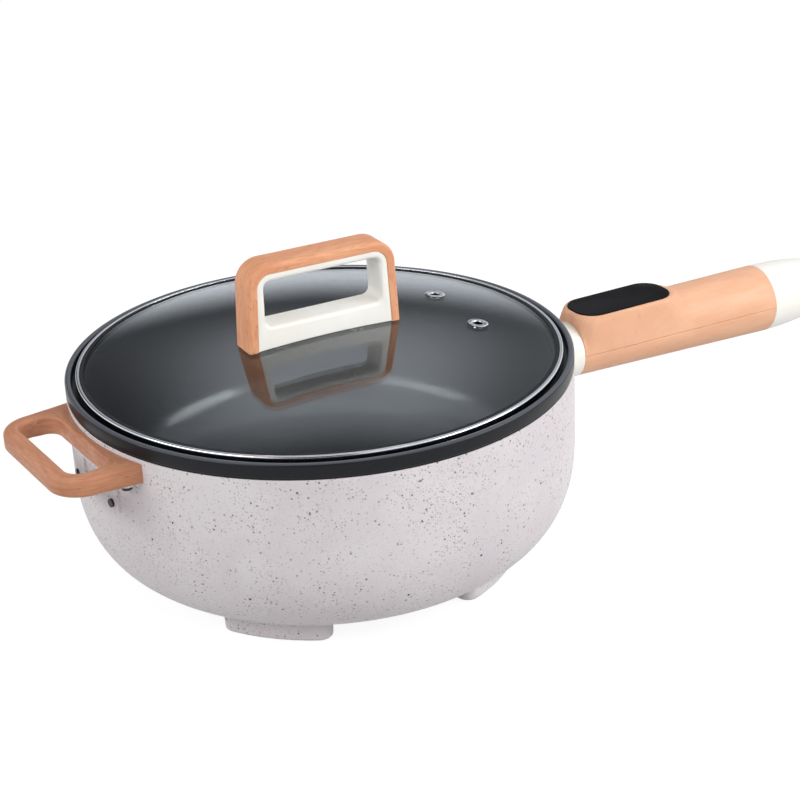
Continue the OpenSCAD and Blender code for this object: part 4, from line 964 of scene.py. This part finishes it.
def rounded_rectangle(length, width, corner):
    """Closed outline of a rectangle with rounded corners about zero, always with the same number of points."""
    x, y = length / 2 - corner, width / 2 - corner
    half = np.vstack([
        line((length / 2, -y), (length / 2, y), 8), arc((x, y), corner, 0, 90, 14)[:-1],
        line((x, width / 2), (-x, width / 2), 24), arc((-x, y), corner, 90, 180, 14)[:-1],
    ])
    return np.vstack([half, -half])


def panel_rim(margin):
    """The panel's outline widened by a margin, and the way outwards at each of its points."""
    rims = [rounded_rectangle(PANEL_LENGTH + 2 * m, PANEL_WIDTH + 2 * m, PANEL_CORNER + m)
            for m in (margin, margin + 1)]
    return rims[0], rims[1] - rims[0]


def pad_rim():
    """The narrow rim round the panel: a rounded outer edge, a flat top and a wall down beside the panel."""
    low, inner = PAD_TOP - 3 * PAD_SINK, PAD_MARGIN - PAD_PLAY
    turn = arc((-PAD_SINK, PAD_TOP - PAD_SINK), PAD_SINK, 0, 90, 6)
    section = [(0, low), *turn, (-inner, PAD_TOP), (-inner, low)]
    grid = np.stack(offset_rows(*panel_rim(PAD_MARGIN), section)) + [PANEL_MID, 0, 0]
    return surface(on_handle(grid), chart=grid[..., :2])


def panel_surface():
    """The touch panel: a thin slab with rounded ends and a softened upper edge."""
    low = PANEL_TOP - PANEL_HEIGHT
    turn = arc((-PANEL_EDGE, PANEL_TOP - PANEL_EDGE), PANEL_EDGE, 0, 90, 6)
    rows = offset_rows(*panel_rim(0), [(0, low), *turn])
    grid = capped(rows, (0, 0, low), (0, 0, PANEL_TOP)) + [PANEL_MID, 0, 0]
    return surface(on_handle(grid), wrap_rows=False)


def collar_surface():
    """The pale collar: a tapered tube whose root follows the round shell."""
    a = np.linspace(0, 2 * np.pi, HANDLE_STEPS, endpoint=False)[:, None]
    root = np.sqrt(RIM_RADIUS ** 2 - (COLLAR_ROOT * np.cos(a)) ** 2) - RIM_RADIUS - COLLAR_SINK
    outer_s = root + (COLLAR_LENGTH - COLLAR_EDGE - root) * np.linspace(0, 1, 20)
    taper = COLLAR_ROOT + (GRIP_START - COLLAR_ROOT) * np.clip(outer_s / COLLAR_LENGTH, 0, 1)
    edge_r, edge_s = arc((GRIP_START - COLLAR_EDGE, COLLAR_LENGTH - COLLAR_EDGE), COLLAR_EDGE, 0, 90, 5)[1:].T
    s = np.concatenate([outer_s, edge_s + 0 * a, outer_s[:, ::-1]], 1)
    r = np.concatenate([taper, edge_r + 0 * a, taper[:, ::-1] - COLLAR_WALL], 1)
    return surface(on_handle(np.stack([s, r * np.cos(a), r * np.sin(a)], -1)))


def mouth_outline(ring):
    """Rounded power opening met by rays from its middle: the shorter way to its sides, eased at the corners."""
    wide, high = np.abs(ring / [MOUTH_WIDTH / 2, MOUTH_HEIGHT / 2]).T[..., None] ** MOUTH_POWER
    return ring * (wide + high) ** (-1 / MOUTH_POWER)


def cap_surface():
    """The handle's end cap: an oval swell that closes to a flat end with the power opening, hollow inside."""
    a = np.linspace(0, 2 * np.pi, HANDLE_STEPS, endpoint=False)
    ring = np.stack([np.cos(a), np.sin(a)], -1)
    mouth = mouth_outline(ring)
    bend = np.radians(np.linspace(0, 90, 30))
    end = GRIP_STOP + CAP_LENGTH
    swell = GRIP_END - CAP_END
    rows = [(GRIP_STOP + CAP_LENGTH * math.sin(b), ring * (CAP_END + swell * math.cos(b))) for b in bend]
    rows += [(end, ring * CAP_END * 0.9 + mouth * 0.1), (end, ring * MOUTH_EDGE + mouth),
             (end - MOUTH_EDGE, mouth), (end - CAP_WALL, mouth)]
    rows += [(GRIP_STOP + (CAP_LENGTH - CAP_WALL) * math.sin(b),
              ring * (CAP_END - CAP_WALL + swell * math.cos(b))) for b in bend[::-1][2:]]
    grid = np.stack([np.column_stack([np.full(HANDLE_STEPS, s), flat]) for s, flat in rows])
    return surface(on_handle(grid))


add_piece("grip_top", [grip_half(1), pad_rim()], "cooker", ["grip_upper"], "wood_look", grip_wood_painted_light)
add_piece("grip_bottom", [grip_half(-1)], "cooker", ["grip_lower"], "wood_look", grip_wood_painted_light)
add_piece("touch_panel", [panel_surface()], "cooker", ["control_panel"], "panel_gloss")
add_piece("pale_collar", [collar_surface()], "cooker", ["handle_collar"], "cream_plastic")
add_piece("oval_cap", [cap_surface()], "cooker", ["end_cap"], "cream_plastic")

# Every CAD node that still shows takes the finish of its slot; the helper handle's fixings take steel darkened as
# painted shade, for the shade they sit in
for part in frame["record"]["subparts"]:
    dark = part["node"] in ("helper_rivets", "helper_screws")
    slots = frame["nodes"][part["node"]].data.materials
    slots.clear()
    slots.append(fixing_steel_painted_shade if dark else finishes[part["material_slot"]])


# Stage: floor, world, lamps and camera

PHOTO_SIZE = 800
FOCAL_PIXELS = 1800
SENSOR_MM = 36.0
MIDDLE_PIXEL = (430, 320)
CAMERA_AWAY = 1041.05
CAMERA_AZIMUTH = math.radians(24.6)
CAMERA_ELEVATION = math.radians(22.732)
CAMERA_PITCH = math.radians(21.903)
CAMERA_YAW = math.radians(3.806)
CAMERA_ROLL = math.radians(-2.151)
CAMERA_CLIP = (0.05, 50)
FLOOR_HALF = 6.0
FLOOR_GREY = tone(188, 188, 188)
FLOOR_WHITE = 1.40
SHADOW_SHARE = 0.36
WORLD_LIGHT = 0.5
DIM_LEVEL = 0.12
WHITE = (1, 1, 1, 1)
COOL = (0.94, 0.99, 1.06, 1)

# Dim flags in the world: soft edges as spans of a direction's share ahead of the camera, to its right and up
FLAG_AHEAD = (0.1, 0.3)
FLAG_LEFT = (-0.75, -0.5)
FLAG_RIGHT = (0.2, 0.5)
FLAG_LOW = (0.04, 0.24)
FLAG_LOW_CLIMB = 0.3
FLAG_HIGH = (0.86, 0.96)
GAP_SIDE = 0.03
GAP_EDGE = (0.06, 0.3)
GAP_LOW = (0.2, 0.56)
GAP_HIGH = (0.63, 0.77)
FRONT_AHEAD = (-0.4, -0.2)
FRONT_SIDE = -0.07
FRONT_EDGE = (0.2, 0.36)

# Lamps: name, place, width and height, all in metres, power in watts, and whether gloss shows it
LAMP_AIM = (-0.05, 0, 0.08)
LAMPS = (
    ("key_lamp", (1.25, -1.25, 0.95), (1.5, 0.45), 24.5, True),
    ("front_lamp", (-0.55, -1.45, 0.7), (1.0, 1.0), 4.0, False),
    ("left_lamp", (-1.45, -0.1, 0.95), (1.4, 0.35), 9.5, True),
    ("back_lamp", (0.1, 1.1, 1.2), (1.2, 1.2), 2.0, False),
)


def seen_directly(nodes):
    """1 for rays from the camera, from gloss and through glass, and 0 for rays that light other surfaces."""
    path = nodes.node("ShaderNodeLightPath").outputs
    seen = nodes.math("MAXIMUM", path["Is Camera Ray"], path["Is Glossy Ray"])
    return nodes.math("MAXIMUM", seen, path["Is Transmission Ray"])


def add_floor():
    """A wide pale floor that looks white where it is lit and keeps a soft part of the shadow."""
    mesh = bpy.data.meshes.new("floor")
    h = FLOOR_HALF
    mesh.from_pydata([(-h, -h, 0), (h, -h, 0), (h, h, 0), (-h, h, 0)], [], [(0, 1, 2, 3)])
    material = bpy.data.materials.new("floor")
    material.use_nodes = True
    nodes = Nodes(material.node_tree)
    nodes.tree.nodes.clear()
    matt = nodes.node("ShaderNodeBsdfDiffuse", {"Color": FLOOR_GREY})
    white = nodes.node("ShaderNodeEmission", {"Strength": FLOOR_WHITE})
    share = nodes.product(seen_directly(nodes), 1 - SHADOW_SHARE)
    both = nodes.node("ShaderNodeMixShader", {0: share, 1: matt.outputs[0], 2: white.outputs[0]})
    nodes.node("ShaderNodeOutputMaterial", {"Surface": both.outputs[0]})
    mesh.materials.append(material)
    floor = placed("floor", mesh)


def add_world():
    """Even studio surroundings: white where they are seen, and a plain level of light elsewhere. Gloss shows a
    cool white, but for two dim flags behind the object, with a soft white gap between them, and one in front."""
    world = bpy.data.worlds.new("studio")
    world.use_nodes = True
    nodes = Nodes(world.node_tree)
    way = nodes.node("ShaderNodeTexCoord").outputs["Generated"]

    def share(x, y):
        inputs = {0: way, 1: (x, y, 0)}
        return nodes.node("ShaderNodeVectorMath", inputs, operation="DOT_PRODUCT").outputs["Value"]

    def rise(value, span):
        return nodes.between(value, *span)

    def fall(value, span):
        return nodes.between(value, *span, 1, 0)

    def off(value, middle):
        return nodes.math("ABSOLUTE", nodes.math("SUBTRACT", value, middle))

    def level(value, low, high):
        return nodes.node("ShaderNodeMapRange", {"Value": value, "To Min": low, "To Max": high}).outputs[0]

    c, s = math.cos(CAMERA_AZIMUTH), math.sin(CAMERA_AZIMUTH)
    ahead, side = share(s, c), share(c, -s)
    up = nodes.node("ShaderNodeSeparateXYZ", {"Vector": way}).outputs["Z"]
    climb = nodes.product(nodes.math("MAXIMUM", side), FLAG_LOW_CLIMB)
    low_edge = rise(nodes.math("SUBTRACT", up, climb), FLAG_LOW)
    back = nodes.product(rise(ahead, FLAG_AHEAD), low_edge, fall(up, FLAG_HIGH), rise(side, FLAG_LEFT),
                         fall(side, FLAG_RIGHT))
    gap = nodes.product(fall(off(side, GAP_SIDE), GAP_EDGE), rise(up, GAP_LOW), fall(up, GAP_HIGH))
    back = nodes.product(back, nodes.math("SUBTRACT", 1.0, gap))
    front = nodes.product(fall(ahead, FRONT_AHEAD), fall(off(side, FRONT_SIDE), FRONT_EDGE))
    flags = nodes.math("MAXIMUM", back, front)
    depth = nodes.node("ShaderNodeLightPath").outputs["Glossy Depth"]
    mirrored = nodes.math("MINIMUM", depth, 1.0)
    gloss = level(nodes.product(flags, mirrored), 1.0, DIM_LEVEL)
    background = nodes.tree.nodes["Background"].inputs
    nodes.tree.links.new(level(seen_directly(nodes), WORLD_LIGHT, gloss), background["Strength"])
    nodes.tree.links.new(nodes.mix(mirrored, WHITE, COOL), background["Color"])
    bpy.context.scene.world = world


def add_lamp(name, place, size, power, mirrored):
    """A soft lamp, as wide and as high as given, turned towards the lamps' common aim. Gloss may leave it out."""
    data = bpy.data.lights.new(name, "AREA")
    data.shape = "RECTANGLE"
    data.size, data.size_y = size
    data.energy = power
    lamp = placed(name, data)
    back = np.array(place) - np.array(LAMP_AIM)
    back /= np.linalg.norm(back)
    side = np.cross((0, 0, 1), back)
    side /= np.linalg.norm(side)
    turn = np.stack([side, np.cross(back, side), back], -1)
    lamp.matrix_world = Matrix.Translation(place) @ Matrix(turn.tolist()).to_4x4()
    lamp.visible_camera = False
    lamp.visible_glossy = lamp.visible_transmission = mirrored


def add_camera():
    """The photograph's camera: it stands on a sphere about the rim's middle and is turned by a yaw, a pitch and a
    roll. The picture's middle lies off the lens's axis, so the lens is shifted by that many pixels."""
    data = bpy.data.cameras.new("photo_camera")
    data.sensor_width = SENSOR_MM
    data.lens = FOCAL_PIXELS / PHOTO_SIZE * SENSOR_MM
    data.shift_x = (PHOTO_SIZE / 2 - MIDDLE_PIXEL[0]) / PHOTO_SIZE
    data.shift_y = (MIDDLE_PIXEL[1] - PHOTO_SIZE / 2) / PHOTO_SIZE
    data.clip_start, data.clip_end = CAMERA_CLIP
    e, p, w = CAMERA_ELEVATION, CAMERA_PITCH, CAMERA_YAW
    away = CAMERA_AWAY * np.array([0, -math.cos(e), math.sin(e)])
    forward = np.array([math.sin(w) * math.cos(p), math.cos(w) * math.cos(p), -math.sin(p)])
    right = np.array([math.cos(w), -math.sin(w), 0])
    up = np.cross(right, forward)
    c, s = math.cos(CAMERA_ROLL), math.sin(CAMERA_ROLL)
    axes = np.stack([c * right + s * up, c * up - s * right, -forward], -1)
    turn = np.array(Matrix.Rotation(-CAMERA_AZIMUTH, 3, "Z"))
    place = (turn @ away + [AXIS_X, 0, RIM_Z]) * MM
    camera = placed("photo_camera", data)
    camera.matrix_world = Matrix.Translation(place) @ Matrix((turn @ axes).tolist()).to_4x4()
    bpy.context.scene.camera = camera


add_floor()
add_world()
for lamp in LAMPS:
    add_lamp(*lamp)
add_camera()
bpy.context.scene.view_settings.view_transform = "Standard"
